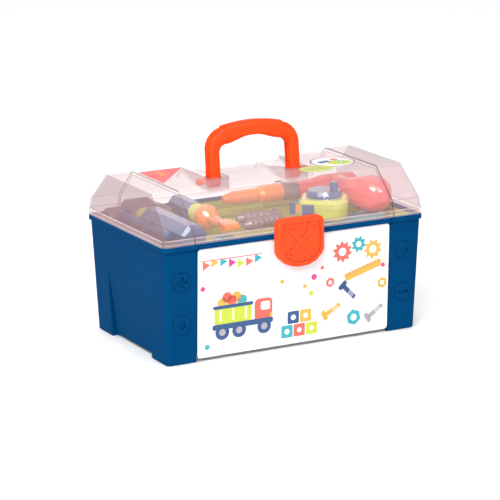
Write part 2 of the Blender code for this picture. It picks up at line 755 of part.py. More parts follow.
def front_door(surface):
    """The fold-down front: panel, top band, flanges, ribs, rail, pegs and latch arm."""
    half = POST_INNER - DOOR_GAP
    flange_top = TRAY_BOTTOM - WALL
    top = WALL_TOP

    def slab(name, x_low, x_high, z_low, z_high, depth):
        outline = ((door_front(z_low), z_low), (door_front(z_low) + depth, z_low),
                   (door_front(z_high) + depth, z_high), (door_front(z_high), z_high))
        return prism(name, along_x, outline, x_low, x_high)

    door = slab("front_door", -half, half, DOOR_BOTTOM, top + RIM_BAND / 2, DOOR_THICKNESS)
    unite(door, slab("rail", -half, half, DOOR_BOTTOM, DOOR_BOTTOM + DOOR_RAIL_HEIGHT,
                     DOOR_RAIL_DEPTH))
    rim = -RIM_DEPTH / 2
    band = ((rim, top), (rim + DOOR_BAND_DEPTH, top), (rim + DOOR_BAND_DEPTH, RIM_HEIGHT),
            (rim + RIM_EDGE, RIM_HEIGHT), (rim, RIM_HEIGHT - RIM_EDGE))
    unite(door, prism("band", along_x, band, -half, half))
    depth = DOOR_THICKNESS + DOOR_FLANGE_DEPTH
    for side in (-1, 1):
        for inner, outer in ((half - WALL, half), (DOOR_RIB_X, DOOR_RIB_X + WALL)):
            unite(door, slab("flange", min(side * inner, side * outer),
                             max(side * inner, side * outer),
                             DOOR_BOTTOM + DOOR_RAIL_HEIGHT / 2, flange_top, depth))
        ends = sorted((-side * WALL, side * DOOR_PEG_LENGTH))
        unite(door, cylinder("peg", "X", (side * half, DOOR_AXIS_Y, DOOR_AXIS_Z), DOOR_PEG_RADIUS,
                             *ends, 16))
    unite(door, latch_knuckle())
    return finish(door, surface, (0.0, DOOR_AXIS_Y, DOOR_AXIS_Z))


def front_card(surface):
    """The printed card that covers the door, notched for the latch's arm."""
    half_x = POST_INNER - DOOR_GAP - CARD_SIDE_GAP
    half_z = (CARD_TOP - CARD_BOTTOM) / 2
    middle = (CARD_TOP + CARD_BOTTOM) / 2
    outline = [(x, middle + z) for x, z in rounded_rectangle(half_x, half_z, CARD_CORNER, 4)]
    card = prism("front_card", along_y, outline, 0.0, CARD_THICKNESS)
    notch = CARD_NOTCH_WIDTH / 2
    cut(card, box("notch", (-notch, -OVERRUN, CARD_NOTCH_BOTTOM),
                  (notch, CARD_THICKNESS + OVERRUN, CARD_TOP + OVERRUN)))
    for vertex in card.data.vertices:
        vertex.co.y += card_front(vertex.co.z)
    return finish(card, surface, (0.0, DOOR_AXIS_Y, DOOR_AXIS_Z))


# Latch
def latch_outline(inward=0.0):
    """The shield outline in (x, z)."""
    height = LATCH_TOP - LATCH_BOTTOM
    right = [(share_x * LATCH_WIDTH / 2, LATCH_BOTTOM + share_z * height)
             for share_x, share_z in LATCH_OUTLINE_SHARES]
    return inset(mirror_x(right), inward)


def bar(name, start, end, half_width, low_y, high_y):
    """A straight raised bar between two (x, z) points."""
    start, end = Vector(start), Vector(end)
    along = (end - start).normalized()
    across = Vector((-along.y, along.x)) * half_width
    outline = [tuple(start - across), tuple(end - across), tuple(end + across),
               tuple(start + across)]
    return prism(name, along_y, outline, low_y, high_y)


def crossed_tools(low_y, high_y):
    """The raised crossed wrench and screwdriver on the latch."""
    middle = Vector((0.0, LATCH_BOTTOM + (LATCH_TOP - LATCH_BOTTOM) * EMBLEM_HEIGHT_SHARE))
    reach = LATCH_WIDTH * EMBLEM_REACH_SHARE
    thin = LATCH_WIDTH * EMBLEM_SHAFT_SHARE
    thick = LATCH_WIDTH * EMBLEM_GRIP_SHARE
    up_right = Vector((1.0, 1.0)).normalized()
    up_left = Vector((-1.0, 1.0)).normalized()
    relief = bar("driver_shaft", middle - up_left * reach * 0.1, middle + up_left * reach,
                 thin, low_y, high_y)
    unite(relief, bar("driver_grip", middle - up_left * reach * 0.15, middle - up_left * reach,
                      thick, low_y, high_y),
          bar("driver_tip", middle + up_left * reach * 0.45, middle + up_left * reach * 0.9,
              thick * 0.7, low_y, high_y),
          bar("wrench_shaft", middle - up_right * reach, middle + up_right * reach * 0.9,
              thin, low_y, high_y))
    jaw_place = middle + up_right * reach
    jaw = prism("jaw", along_y, circle(jaw_place, thick * 1.5, 14), low_y, high_y)
    cut(jaw, bar("mouth", jaw_place, jaw_place + up_right * thick * 1.8, thick * 0.6,
                 low_y - OVERRUN, high_y + OVERRUN))
    ring = prism("ring", along_y, circle(middle - up_right * reach, thick * 1.15, 14), low_y, high_y)
    eye = middle - up_right * reach
    cut(ring, prism("ring_eye", along_y, circle(eye, thick * 0.45, 8), low_y - OVERRUN,
                    high_y + OVERRUN))
    unite(relief, jaw)
    cut(relief, prism("ring_place", along_y, circle(eye, thick * 0.8, 14), low_y - OVERRUN,
                      high_y + OVERRUN))
    return unite(relief, ring)


def latch(surface):
    """The orange shield that swings down to free the lid."""
    front = -FRONT_REACH
    back = front + LATCH_DEPTH
    shell = skin("latch", [along_y(latch_outline(LATCH_EDGE), front),
                           along_y(latch_outline(), front + LATCH_EDGE),
                           along_y(latch_outline(), back)])
    hollow = prism("hollow", along_y, latch_outline(LATCH_WALL), front + LATCH_WALL, back + OVERRUN)
    cut(shell, hollow)
    bead_half = LATCH_WIDTH / 2 - LATCH_WALL / 2
    rim_face = -RIM_DEPTH / 2 - FIT_GAP
    unite(shell, box("bead", (-bead_half, front + LATCH_WALL / 2, LATCH_BEAD_Z),
                     (bead_half, rim_face, LATCH_BEAD_Z + LATCH_BEAD_HEIGHT)))
    floor_y = front + LATCH_PANEL_DEPTH
    cut(shell, prism("panel", along_y, latch_outline(LATCH_PANEL_BORDER), front - OVERRUN, floor_y))
    unite(shell, crossed_tools(front + LATCH_PANEL_DEPTH / 4, floor_y + LATCH_WALL / 4))
    inner = LATCH_KNUCKLE_WIDTH / 2 + LATCH_CHEEK_GAP
    radius = LATCH_KNUCKLE_RADIUS + LATCH_PIN_RADIUS / 3
    nose = arc((LATCH_AXIS_Y, LATCH_AXIS_Z), radius, -90, 90, 8)
    cheek = nose + [(front + LATCH_WALL / 2, LATCH_AXIS_Z + radius),
                    (front + LATCH_WALL / 2, LATCH_AXIS_Z - radius)]
    lower = ((back + OVERRUN, LATCH_BOTTOM - OVERRUN), (back + OVERRUN, LATCH_AXIS_Z + LATCH_DEPTH),
             (LATCH_AXIS_Y + radius, LATCH_AXIS_Z + radius / 2),
             (LATCH_AXIS_Y - radius / 3, LATCH_BOTTOM - OVERRUN))
    cut(shell, prism("lower_back", along_x, lower, -LATCH_WIDTH, LATCH_WIDTH))
    for side in (-1, 1):
        outer = inner + LATCH_CHEEK
        unite(shell, prism("cheek", along_x, cheek, min(side * inner, side * outer),
                           max(side * inner, side * outer)))
    cut(shell, cylinder("pin_bore", "X", (0.0, LATCH_AXIS_Y, LATCH_AXIS_Z),
                        LATCH_PIN_RADIUS + FIT_GAP, -inner - LATCH_CHEEK - OVERRUN,
                        inner + LATCH_CHEEK + OVERRUN, 12))
    return finish(shell, surface, (0.0, LATCH_AXIS_Y, LATCH_AXIS_Z))


def latch_pin(surface):
    """The pin through the door's arm and the latch's cheeks."""
    half = LATCH_KNUCKLE_WIDTH / 2 + LATCH_CHEEK_GAP + LATCH_CHEEK
    centre = (0.0, LATCH_AXIS_Y, LATCH_AXIS_Z)
    return finish(cylinder("latch_pin", "X", centre, LATCH_PIN_RADIUS, -half, half, 12),
                  surface, centre)


# Tray
def tray_ring(z, inward, lower):
    """Ring of the tray's wall; lower is 0 at the flange and 1 at the floor."""
    half_x = WALL_HALF_LENGTH - WALL - TRAY_WALL_GAP - TRAY_DRAFT * lower - inward
    half_y = WALL_HALF_DEPTH - WALL - TRAY_WALL_GAP - TRAY_DRAFT * lower - inward
    return along_z(rounded_rectangle(half_x, half_y, TRAY_CORNER - inward), z)


def tray_wall_x():
    """The inner face of the tray's left wall, at its floor."""
    return WALL + TRAY_WALL_GAP + TRAY_WALL + TRAY_DRAFT - WALL_HALF_LENGTH


def tray_ridge():
    """The half-round ridge that stands up along the back of the tray's floor."""
    back = WALL_HALF_DEPTH - WALL - TRAY_WALL_GAP - TRAY_WALL - TRAY_DRAFT
    middle = back - TRAY_RIDGE_BACK_GAP - TRAY_RIDGE_HALF_WIDTH
    foot = TRAY_FLOOR_TOP - TRAY_WALL / 2
    crown = [(middle + TRAY_RIDGE_HALF_WIDTH * math.cos(math.pi * step / 8),
              TRAY_FLOOR_TOP + TRAY_RIDGE_HEIGHT * math.sin(math.pi * step / 8))
             for step in range(9)]
    outline = [(crown[0][0], foot)] + crown + [(crown[-1][0], foot)]
    ridge = prism("ridge", along_x, outline, TRAY_RIDGE_X - TRAY_RIDGE_HALF_LENGTH,
                  TRAY_RIDGE_X + TRAY_RIDGE_HALF_LENGTH)
    return soften(ridge, TRAY_RIDGE_EDGE)


def tray(surface):
    """The lift-out tray, which stands on the tub's ledge inside the rim."""
    base = TRAY_TOP - TRAY_FLANGE
    flange_outline = rounded_rectangle(WALL_HALF_LENGTH - WALL - FIT_GAP * 2,
                                       RIM_DEPTH / 2 - DOOR_BAND_DEPTH - FIT_GAP * 2, TRAY_CORNER)
    body = skin("tool_tray", [tray_ring(TRAY_BOTTOM, 0.0, 1), tray_ring(base, 0.0, 0),
                              along_z(flange_outline, base), along_z(flange_outline, TRAY_TOP)])
    cut(body, skin("tray_hollow", [tray_ring(TRAY_FLOOR_TOP, TRAY_WALL, 1),
                                   tray_ring(TRAY_TOP + OVERRUN, TRAY_WALL, 0)]))
    for x in (-TRAY_HOLE_X, TRAY_HOLE_X):
        for y in (-TRAY_HOLE_Y, TRAY_HOLE_Y):
            cut(body, cylinder("bolt_hole", "Z", (x, y, TRAY_FLOOR_TOP), TRAY_HOLE_RADIUS,
                               -TRAY_WALL - OVERRUN, OVERRUN, 16))
    unite(body, tray_ridge())
    return finish(body, surface)


# Lid
def lid_profile(inward):
    """Closed (y, z) section of the lid, each face moved inward."""
    foot = RIM_DEPTH / 2 - LID_INSET
    kink = foot - LID_KINK_INSET
    outline = [(-foot, LID_BAND_BOTTOM - LONG_OVERRUN), (foot, LID_BAND_BOTTOM - LONG_OVERRUN),
               (foot, LID_BAND_TOP), (kink, LID_KINK_Z), (LID_TOP_HALF_DEPTH, LID_TOP_Z),
               (-LID_TOP_HALF_DEPTH, LID_TOP_Z), (-kink, LID_KINK_Z), (-foot, LID_BAND_TOP)]
    return inset(outline, inward)


def lid_form(name, inward, bottom):
    """The lid's solid form, moved inward, down to a height."""
    end = RIM_LENGTH / 2 - LID_INSET - inward
    step = BAND_INNER_X + inward
    sections = [(end, inward + LID_END_CHAMFER), (end - LID_END_CHAMFER, inward),
                (step, inward), (step - LID_STEP_RUN, inward + LID_STEP)]
    sections = ([(-x, gap) for x, gap in sections]
                + [(x, gap) for x, gap in reversed(sections)])
    rings = []
    for x, gap in sections:
        ring = along_x(lid_profile(gap), x)
        if abs(x) > step:
            for point in ring:
                lean = LID_END_DRAFT * (point.z - LID_BAND_TOP) / (LID_TOP_Z - LID_BAND_TOP)
                point.x -= lean if x > 0 else -lean
        rings.append(ring)
    form = skin(name, rings)
    cut(form, box("below", (-RIM_LENGTH, -RIM_DEPTH, bottom - LONG_OVERRUN * 2),
                  (RIM_LENGTH, RIM_DEPTH, bottom)))
    return form


def well_cutters(grow):
    """The two leg channels and the finger scoop, grown by a wall."""
    top = LID_TOP_Z + LONG_OVERRUN
    slope = (WELL_RAMP_TOP_Z - WELL_BOTTOM_Z) / (WELL_BACK_Y - WELL_RAMP_Y)
    back = WELL_BACK_Y + LONG_OVERRUN / 2
    channel = ((WELL_FRONT_Y - grow, WELL_BOTTOM_Z - grow), (WELL_RAMP_Y, WELL_BOTTOM_Z - grow),
               (back, WELL_BOTTOM_Z - grow + slope * (back - WELL_RAMP_Y)), (back, top),
               (WELL_FRONT_Y - grow, top))
    tools = []
    for side in (-1, 1):
        near = side * (WELL_BLOCK_HALF - grow)
        far = side * (WELL_HALF_LENGTH + grow)
        tools.append(prism("channel", along_x, channel, min(near, far), max(near, far)))
    scoop = [(share_y * WELL_BACK_Y, PLATEAU_Z - share_z * SCOOP_FALL - grow)
             for share_y, share_z in SCOOP_OUTLINE_SHARES]
    scoop = ([(scoop[0][0], top)] + [(scoop[0][0], scoop[0][1] + FIT_GAP)] + scoop[1:]
             + [(back, PLATEAU_Z - SCOOP_FALL - grow), (back, top)])
    half = WELL_BLOCK_HALF + (WALL + grow) / 2
    tools.append(prism("finger_scoop", along_x, scoop, -half, half))
    return tools


def lid_rim(name, inward, low, high):
    """The straight band round the lid's foot."""
    return prism(name, along_z, rim_outline(inward), low, high)


def lid_shell(surface):
    """The clear lid, with its handle well, rim band and hinge knuckles."""
    shell = lid_form("lid_shell", 0.0, LID_BAND_TOP - LID_WALL / 2)
    cut(shell, *well_cutters(0.0))
    unite(shell, lid_rim("rim", 0.0, LID_BAND_BOTTOM, LID_BAND_TOP))
    for station in (-HINGE_STATION_X, HINGE_STATION_X):
        half = HINGE_KNUCKLE_WIDTH / 2
        unite(shell, hinge_lug("knuckle", station - half, station + half, LID_BAND_BOTTOM + FIT_GAP,
                               [(RIM_DEPTH / 2 - RIM_OVERHANG / 2, LID_BAND_TOP)]))
    hollow = lid_form("hollow", LID_WALL, LID_BAND_BOTTOM - OVERRUN)
    cut(hollow, *well_cutters(LID_WALL))
    cut(shell, hollow)
    cut(shell, lid_rim("rim_hollow", LID_WALL, LID_BAND_BOTTOM - OVERRUN,
                       LID_BAND_TOP - LID_WALL))
    for station in (-HINGE_STATION_X, HINGE_STATION_X):
        cut(shell, hinge_bore(station, HINGE_KNUCKLE_WIDTH, HINGE_PIN_RADIUS + FIT_GAP))
    for side in (-1, 1):
        cut(shell, cylinder("handle_bore", "X", (side * WELL_HALF_LENGTH, HANDLE_AXIS_Y, HANDLE_AXIS_Z),
                            HANDLE_PIN_RADIUS + PEG_CLEARANCE, -LID_WALL - OVERRUN,
                            LID_WALL + OVERRUN, 20))
    return finish(shell, surface, (0.0, HINGE_AXIS_Y, HINGE_AXIS_Z))


def hinge_pin(name, station, surface):
    """A pin through one hinge of the lid."""
    half = HINGE_KNUCKLE_WIDTH / 2 + HINGE_SIDE_GAP + HINGE_EAR_WIDTH
    centre = (station, HINGE_AXIS_Y, HINGE_AXIS_Z)
    return finish(cylinder(name, "X", centre, HINGE_PIN_RADIUS, -half, half, 16), surface, centre)


def label(name, outline, lift, surface):
    """A thin label on the lid's top."""
    low = PLATEAU_Z + LABEL_GAP + lift
    return finish(prism(name, along_z, outline, low, low + LABEL_THICKNESS), surface,
                  (0.0, HINGE_AXIS_Y, HINGE_AXIS_Z))


def triangle_outline():
    """The corner label at the back left of the lid's top."""
    left = -(BAND_INNER_X - TRIANGLE_MARGIN)
    back = LID_TOP_HALF_DEPTH - LID_STEP
    return ((left, back - TRIANGLE_DEPTH), (left + TRIANGLE_LENGTH, back), (left, back))


def oval_outline(half, centre):
    """An oval label outline about its centre."""
    return [(centre[0] + half[0] * x, centre[1] + half[1] * y) for x, y in circle((0, 0), 1, 32)]


def big_oval_outline():
    """The oval label between the handle well and the lid's right step."""
    left = WELL_HALF_LENGTH + OVAL_LABEL_WELL_GAP
    right = BAND_INNER_X - OVAL_LABEL_STEP_GAP
    return oval_outline(((right - left) / 2, OVAL_LABEL_HALF_DEPTH),
                        ((left + right) / 2, OVAL_LABEL_Y))


# Handle
def handle_path():
    """Stations of the bail: place, outward direction, outer and inner reach, half depth."""
    side, bend, leg = HANDLE_HALF_SPAN, HANDLE_BEND, HANDLE_LEG_HALF_WIDTH
    shoulder = side - bend
    slope_end = math.atan2(2 * HANDLE_CROWN, shoulder)

    def crown(x):
        return HANDLE_HEIGHT - HANDLE_CROWN * (x / shoulder) ** 2

    bend_z = crown(shoulder + bend * math.sin(slope_end)) - bend * math.cos(slope_end)
    stations = [((side, 0.0), (1.0, 0.0), leg, leg, HANDLE_HALF_DEPTH),
                ((side, bend_z), (1.0, 0.0), leg, leg, HANDLE_HALF_DEPTH)]
    steps = 6
    for index in range(1, steps):
        angle = (math.pi / 2 - slope_end) * index / steps
        out = (math.cos(angle), math.sin(angle))
        rise = leg + (HANDLE_GRIP_RISE - leg) * index / steps
        drop = leg + (HANDLE_GRIP_DROP - leg) * index / steps
        spot = (shoulder + bend * out[0], bend_z + bend * out[1])
        stations.append((spot, out, rise, drop, HANDLE_HALF_DEPTH))
    for share, arch, bulge in HANDLE_GRIP_SHARES:
        x = HANDLE_GRIP_HALF_LENGTH * share
        out = Vector((2 * HANDLE_CROWN * x / shoulder ** 2, 1.0)).normalized()
        depth = HANDLE_HALF_DEPTH + (HANDLE_GRIP_HALF_DEPTH - HANDLE_HALF_DEPTH) * bulge
        stations.append(((x, crown(x)), (out.x, out.y), HANDLE_GRIP_RISE + HANDLE_GRIP_LIP * bulge,
                         HANDLE_GRIP_DROP - HANDLE_GRIP_ARCH * arch, depth))
    mirrored = [((-spot[0], spot[1]), (-out[0], out[1]), rise, drop, depth)
                for spot, out, rise, drop, depth in reversed(stations)]
    middle = ((0.0, HANDLE_HEIGHT), (0.0, 1.0), HANDLE_GRIP_RISE + HANDLE_GRIP_LIP,
              HANDLE_GRIP_DROP - HANDLE_GRIP_ARCH, HANDLE_GRIP_HALF_DEPTH)
    return stations + [middle] + mirrored


def carry_handle(surface):
    """The orange bail with its finger grip, round feet and pivot pins."""
    rings = []
    for spot, out, rise, drop, depth in handle_path():
        ring = []
        for across, through in rounded_ring(HANDLE_SQUARENESS_SHARE, 12):
            reach = across * (rise if across > 0 else drop)
            ring.append(Vector((spot[0] + out[0] * reach, through * depth,
                                spot[1] + out[1] * reach)))
        rings.append(ring)
    handle = skin("carry_handle", rings)
    leg = HANDLE_LEG_HALF_WIDTH
    for side in (-1, 1):
        centre = (side * HANDLE_HALF_SPAN, 0.0, 0.0)
        inward = HANDLE_HALF_SPAN - leg
        near = side * (inward - OVERRUN)
        far = side * (inward + HANDLE_GROOVE_DEPTH)
        groove = HANDLE_GROOVE_HALF_WIDTH
        cut(handle, box("groove", (min(near, far), -groove, HANDLE_GROOVE_BOTTOM),
                        (max(near, far), groove, HANDLE_HEIGHT - HANDLE_BEND - HANDLE_CROWN)))
        unite(handle, cylinder("foot", "X", centre, HANDLE_HALF_DEPTH, -leg, leg, 20))
        reach = HANDLE_PIN_REACH - HANDLE_HALF_SPAN
        ends = (-leg / 2, reach) if side > 0 else (-reach, leg / 2)
        unite(handle, cylinder("pin", "X", centre, HANDLE_PIN_RADIUS, *ends, 16))
    handle.data.transform(Matrix.Rotation(-HANDLE_LEAN, 4, "X"))
    return place(finish(handle, surface, smooth_angle=50), (0.0, HANDLE_AXIS_Y, HANDLE_AXIS_Z))


# Play tools
def octagon_bar(name, radius, length, edge):
    """A faceted grip that runs from zero toward -Y."""
    profile = ((0.0, radius - edge), (-edge, radius), (-length + edge, radius),
               (-length, radius - edge))
    return turned(name, profile, 8, axis="Y", phase=0.5)


def hammer(surfaces):
    """Head, collar and grip of the play hammer."""
    body, half, edge = HAMMER_BODY_RADIUS, HAMMER_BODY_HALF, RIM_EDGE * 2
    spot = Vector((*HAMMER_PLACE, TRAY_FLOOR_TOP + FIT_GAP + body))
    face, reach = HAMMER_FACE_RADIUS, HAMMER_FACE_REACH
    profile = ((-reach, face - edge), (-reach + edge, face), (-half - edge, face),
               (-half, body - edge), (-half + edge, body), (half - edge, body),
               (half, body - edge))
    head = turned("hammer_head", profile, 20, axis="X", phase=0.5)
    claw = []
    root = half - edge
    for share, drop, tall, wide in ((0.0, 0.0, 0.72, 0.62), (0.45, 0.10, 0.62, 0.50),
                                    (0.75, 0.42, 0.48, 0.34), (1.0, 1.0, 0.34, 0.18)):
        x = root + (HAMMER_CLAW_REACH - root) * share
        middle = -HAMMER_CLAW_DROP * drop
        claw.append([Vector((x, middle + body * wide * v, body * tall * u))
                     for u, v in ((-1, -1), (1, -1), (1, 1), (-1, 1))])
    unite(head, skin("claw", claw))
    notch = box("notch", (HAMMER_CLAW_REACH - (HAMMER_CLAW_REACH - root) / 2, -body, -edge),
                (HAMMER_CLAW_REACH + OVERRUN, body, edge))
    cut(head, notch)
    parts = [place(finish(head, surfaces["grey"]), spot)]
    start = -body - FIT_GAP
    collar = turned("hammer_collar", ((0.0, HAMMER_COLLAR_RADIUS),
                                      (-HAMMER_COLLAR_LENGTH * 0.5, HAMMER_COLLAR_RADIUS * 0.94),
                                      (-HAMMER_COLLAR_LENGTH, HAMMER_COLLAR_RADIUS)), 16, axis="Y")
    parts.append(place(finish(collar, surfaces["lime"]), spot + Vector((0.0, start, 0.0))))
    start -= HAMMER_COLLAR_LENGTH + FIT_GAP
    grip = octagon_bar("hammer_grip", HAMMER_GRIP_RADIUS, HAMMER_GRIP_LENGTH, TAPE_EDGE)
    parts.append(place(finish(grip, surfaces["blue"]), spot + Vector((0.0, start, 0.0))))
    return parts


def driver_bit(name, surface):
    """A bit with a ball, a neck and a flared blade, from zero toward -Y."""
    ball, neck = BIT_BALL_RADIUS, BIT_NECK_RADIUS
    profile = [(0.0, ball * 0.55)]
    profile += [(-ball * 0.85 + ball * math.cos(math.radians(angle)),
                 ball * math.sin(math.radians(angle))) for angle in (50, 75, 100, 125, 150)]
    root = -ball * 1.7
    profile += [(root - ball * 0.1, neck * 1.05), (root - BIT_NECK_LENGTH, neck)]
    body = turned(name, profile, 16, axis="Y", phase=0.5)
    start = root - BIT_NECK_LENGTH + OVERRUN
    rings = []
    for share, wide, tall in ((0.0, 0.42, 0.95), (0.45, 1.0, 1.0), (0.8, 0.95, 0.75),
                              (1.0, 0.8, 0.35)):
        rings.append([Vector((BIT_BLADE_HALF_WIDTH * wide * u, start - BIT_BLADE_LENGTH * share,
                              BIT_BLADE_HALF_HEIGHT * tall * v))
                      for u, v in ((-1, -1), (1, -1), (1, 1), (-1, 1))])
    unite(body, skin("blade", rings))
    return finish(body, surface)


def screwdriver(surfaces):
    """Grip, collar and bit of the play screwdriver, propped on two nuts."""
    z = TRAY_FLOOR_TOP + FIT_GAP * 2 + NUT_HEIGHT + SCREWDRIVER_GRIP_RADIUS * OCTAGON_FLAT
    spot = Vector((*SCREWDRIVER_PLACE, z))
    grip = octagon_bar("screwdriver_grip", SCREWDRIVER_GRIP_RADIUS, SCREWDRIVER_GRIP_LENGTH,
                       RIM_EDGE * 3)
    parts = [place(finish(grip, surfaces["blue"]), spot)]
    spot = spot - Vector((0.0, SCREWDRIVER_GRIP_LENGTH + FIT_GAP, 0.0))
    collar = turned("screwdriver_collar", ((0.0, SCREWDRIVER_COLLAR_RADIUS),
                                           (-SCREWDRIVER_COLLAR_LENGTH,
                                            SCREWDRIVER_COLLAR_RADIUS * 0.8)), 16, axis="Y")
    parts.append(place(finish(collar, surfaces["lime"]), spot))
    spot = spot - Vector((0.0, SCREWDRIVER_COLLAR_LENGTH + FIT_GAP, 0.0))
    parts.append(place(driver_bit("screwdriver_bit", surfaces["amber"]), spot))
    return parts


def drill_form(name, inward):
    """The drill's barrel and grip as one body, each face moved inward."""
    length = DRILL_BARREL_LENGTH
    radius = DRILL_BARREL_RADIUS
    profile = [(max(inward, min(length - inward, share_x * length)), share_r * radius - inward)
               for share_x, share_r in DRILL_BARREL_SHARES]
    form = turned(name, profile, 20, axis="X", phase=0.5)
    rings = []
    for along, middle, wide, tall in DRILL_GRIP_SHARES:
        y = -along * (DRILL_GRIP_REACH - inward)
        half_x = DRILL_GRIP_HALF_WIDTH * wide - inward
        half_z = DRILL_HALF_THICKNESS * tall - inward
        rings.append(along_y([(middle * length + half_x * u, half_z * v)
                              for u, v in rounded_ring(DRILL_SQUARENESS_SHARE, 16)], y))
    return unite(form, skin("grip", rings))


def drill_half(name, side, surface):
    """One shell of the drill's body; side is -1 below and 1 above."""
    shell = drill_form(name, 0.0)
    cut(shell, drill_form("hollow", DRILL_WALL))
    far = DRILL_BARREL_LENGTH * 2
    seam = side * FIT_GAP / 2
    cut(shell, box("other_half", (-far, -far, min(seam, -side * far)),
                   (far, far, max(seam, -side * far))))
    cut(shell, cylinder("shaft_hole", "X", (0.0, 0.0, 0.0), CHUCK_SHAFT_RADIUS + FIT_GAP * 2,
                        -OVERRUN, DRILL_WALL + OVERRUN, 16))
    slot_x, slot_y = trigger_place()
    half_y = TRIGGER_LENGTH / 2 + TRIGGER_GAP
    half_z = TRIGGER_HALF_HEIGHT + TRIGGER_GAP
    cut(shell, box("trigger_slot", (slot_x - DRILL_WALL * 2, slot_y - half_y, -half_z),
                   (slot_x + DRILL_WALL * 2, slot_y + half_y, half_z)))
    return finish(shell, surface, smooth_angle=50)


def trigger_place():
    """Where the trigger comes out of the grip, in the drill's own frame."""
    station = DRILL_GRIP_SHARES[1]
    x = DRILL_BARREL_LENGTH * station[1] - DRILL_GRIP_HALF_WIDTH * station[2]
    return (x, -DRILL_BARREL_RADIUS - TRIGGER_LENGTH / 2 - TRIGGER_GAP * 2)


def spring_end():
    """How far behind the trigger's place the grip's far wall lies."""
    station = DRILL_GRIP_SHARES[1]
    return DRILL_GRIP_HALF_WIDTH * station[2] * 2 - DRILL_WALL - FIT_GAP


def drill_spot():
    """The front of the drill's barrel axis."""
    z = TRAY_FLOOR_TOP + FIT_GAP * 2 + WRENCH_THICKNESS + DRILL_HALF_THICKNESS
    return Vector((*DRILL_PLACE, z))


def drill(surfaces):
    """Shells, chuck, bit, trigger and its spring."""
    spot = drill_spot()
    parts = [place(drill_half("drill_shell_lower", -1, surfaces["coral"]), spot),
             place(drill_half("drill_shell_upper", 1, surfaces["coral"]), spot)]
    wall_in = DRILL_WALL + FIT_GAP * 2
    radius, length = CHUCK_RADIUS, CHUCK_LENGTH
    gap = FIT_GAP * 2
    profile = ((-length, radius * 0.86), (-length * 0.75, radius * 0.98), (-gap, radius),
               (-gap, CHUCK_SHAFT_RADIUS), (wall_in, CHUCK_SHAFT_RADIUS),
               (wall_in, CHUCK_COLLAR_RADIUS), (wall_in + CHUCK_COLLAR_LENGTH, CHUCK_COLLAR_RADIUS))
    chuck = turned("drill_chuck", profile, 16, axis="X", phase=0.5)
    parts.append(place(finish(chuck, surfaces["grey"]), spot))
    end = -length - FIT_GAP
    reach = DRILL_BIT_LENGTH
    r = DRILL_BIT_RADIUS
    bit = turned("drill_bit", ((0.0, r * 0.94), (-reach * 0.06, r), (-reach * 0.34, r * 0.97),
                               (-reach * 0.40, r * 0.78), (-reach * 0.80, r * 0.74),
                               (-reach * 0.93, r * 0.55), (-reach, r * 0.28)), 16, axis="X",
                 phase=0.5)
    parts.append(place(finish(bit, surfaces["amber"]), spot + Vector((end, 0.0, 0.0))))
    x, y = trigger_place()
    half = TRIGGER_LENGTH / 2
    front = -TRIGGER_REACH
    back = DRILL_WALL * 2 + OVERRUN
    outline = ((front + OVERRUN * 2, -half), (back, -half), (back, half), (front, half),
               (front - OVERRUN / 2, half * 0.5), (front + OVERRUN, -half * 0.2))
    trigger = prism("drill_trigger", along_z, outline, -TRIGGER_HALF_HEIGHT, TRIGGER_HALF_HEIGHT)
    unite(trigger, cylinder("stem", "X", (0.0, 0.0, 0.0), SPRING_BORE - FIT_GAP, back - OVERRUN,
                            back + TRIGGER_STEM, 12))
    parts.append(place(finish(trigger, surfaces["teal"]), spot + Vector((x, y, 0.0))))
    spring_low = back + FIT_GAP
    spring_high = spring_end()
    spring = cylinder("trigger_spring", "X", (0.0, 0.0, 0.0), SPRING_RADIUS, spring_low + TRIGGER_TRAVEL,
                      spring_high, 12)
    cut(spring, cylinder("bore", "X", (0.0, 0.0, 0.0), SPRING_BORE,
                         spring_low - OVERRUN, spring_high + OVERRUN, 12))
    parts.append(place(finish(spring, surfaces["grey"]), spot + Vector((x, y, 0.0))))
    return parts


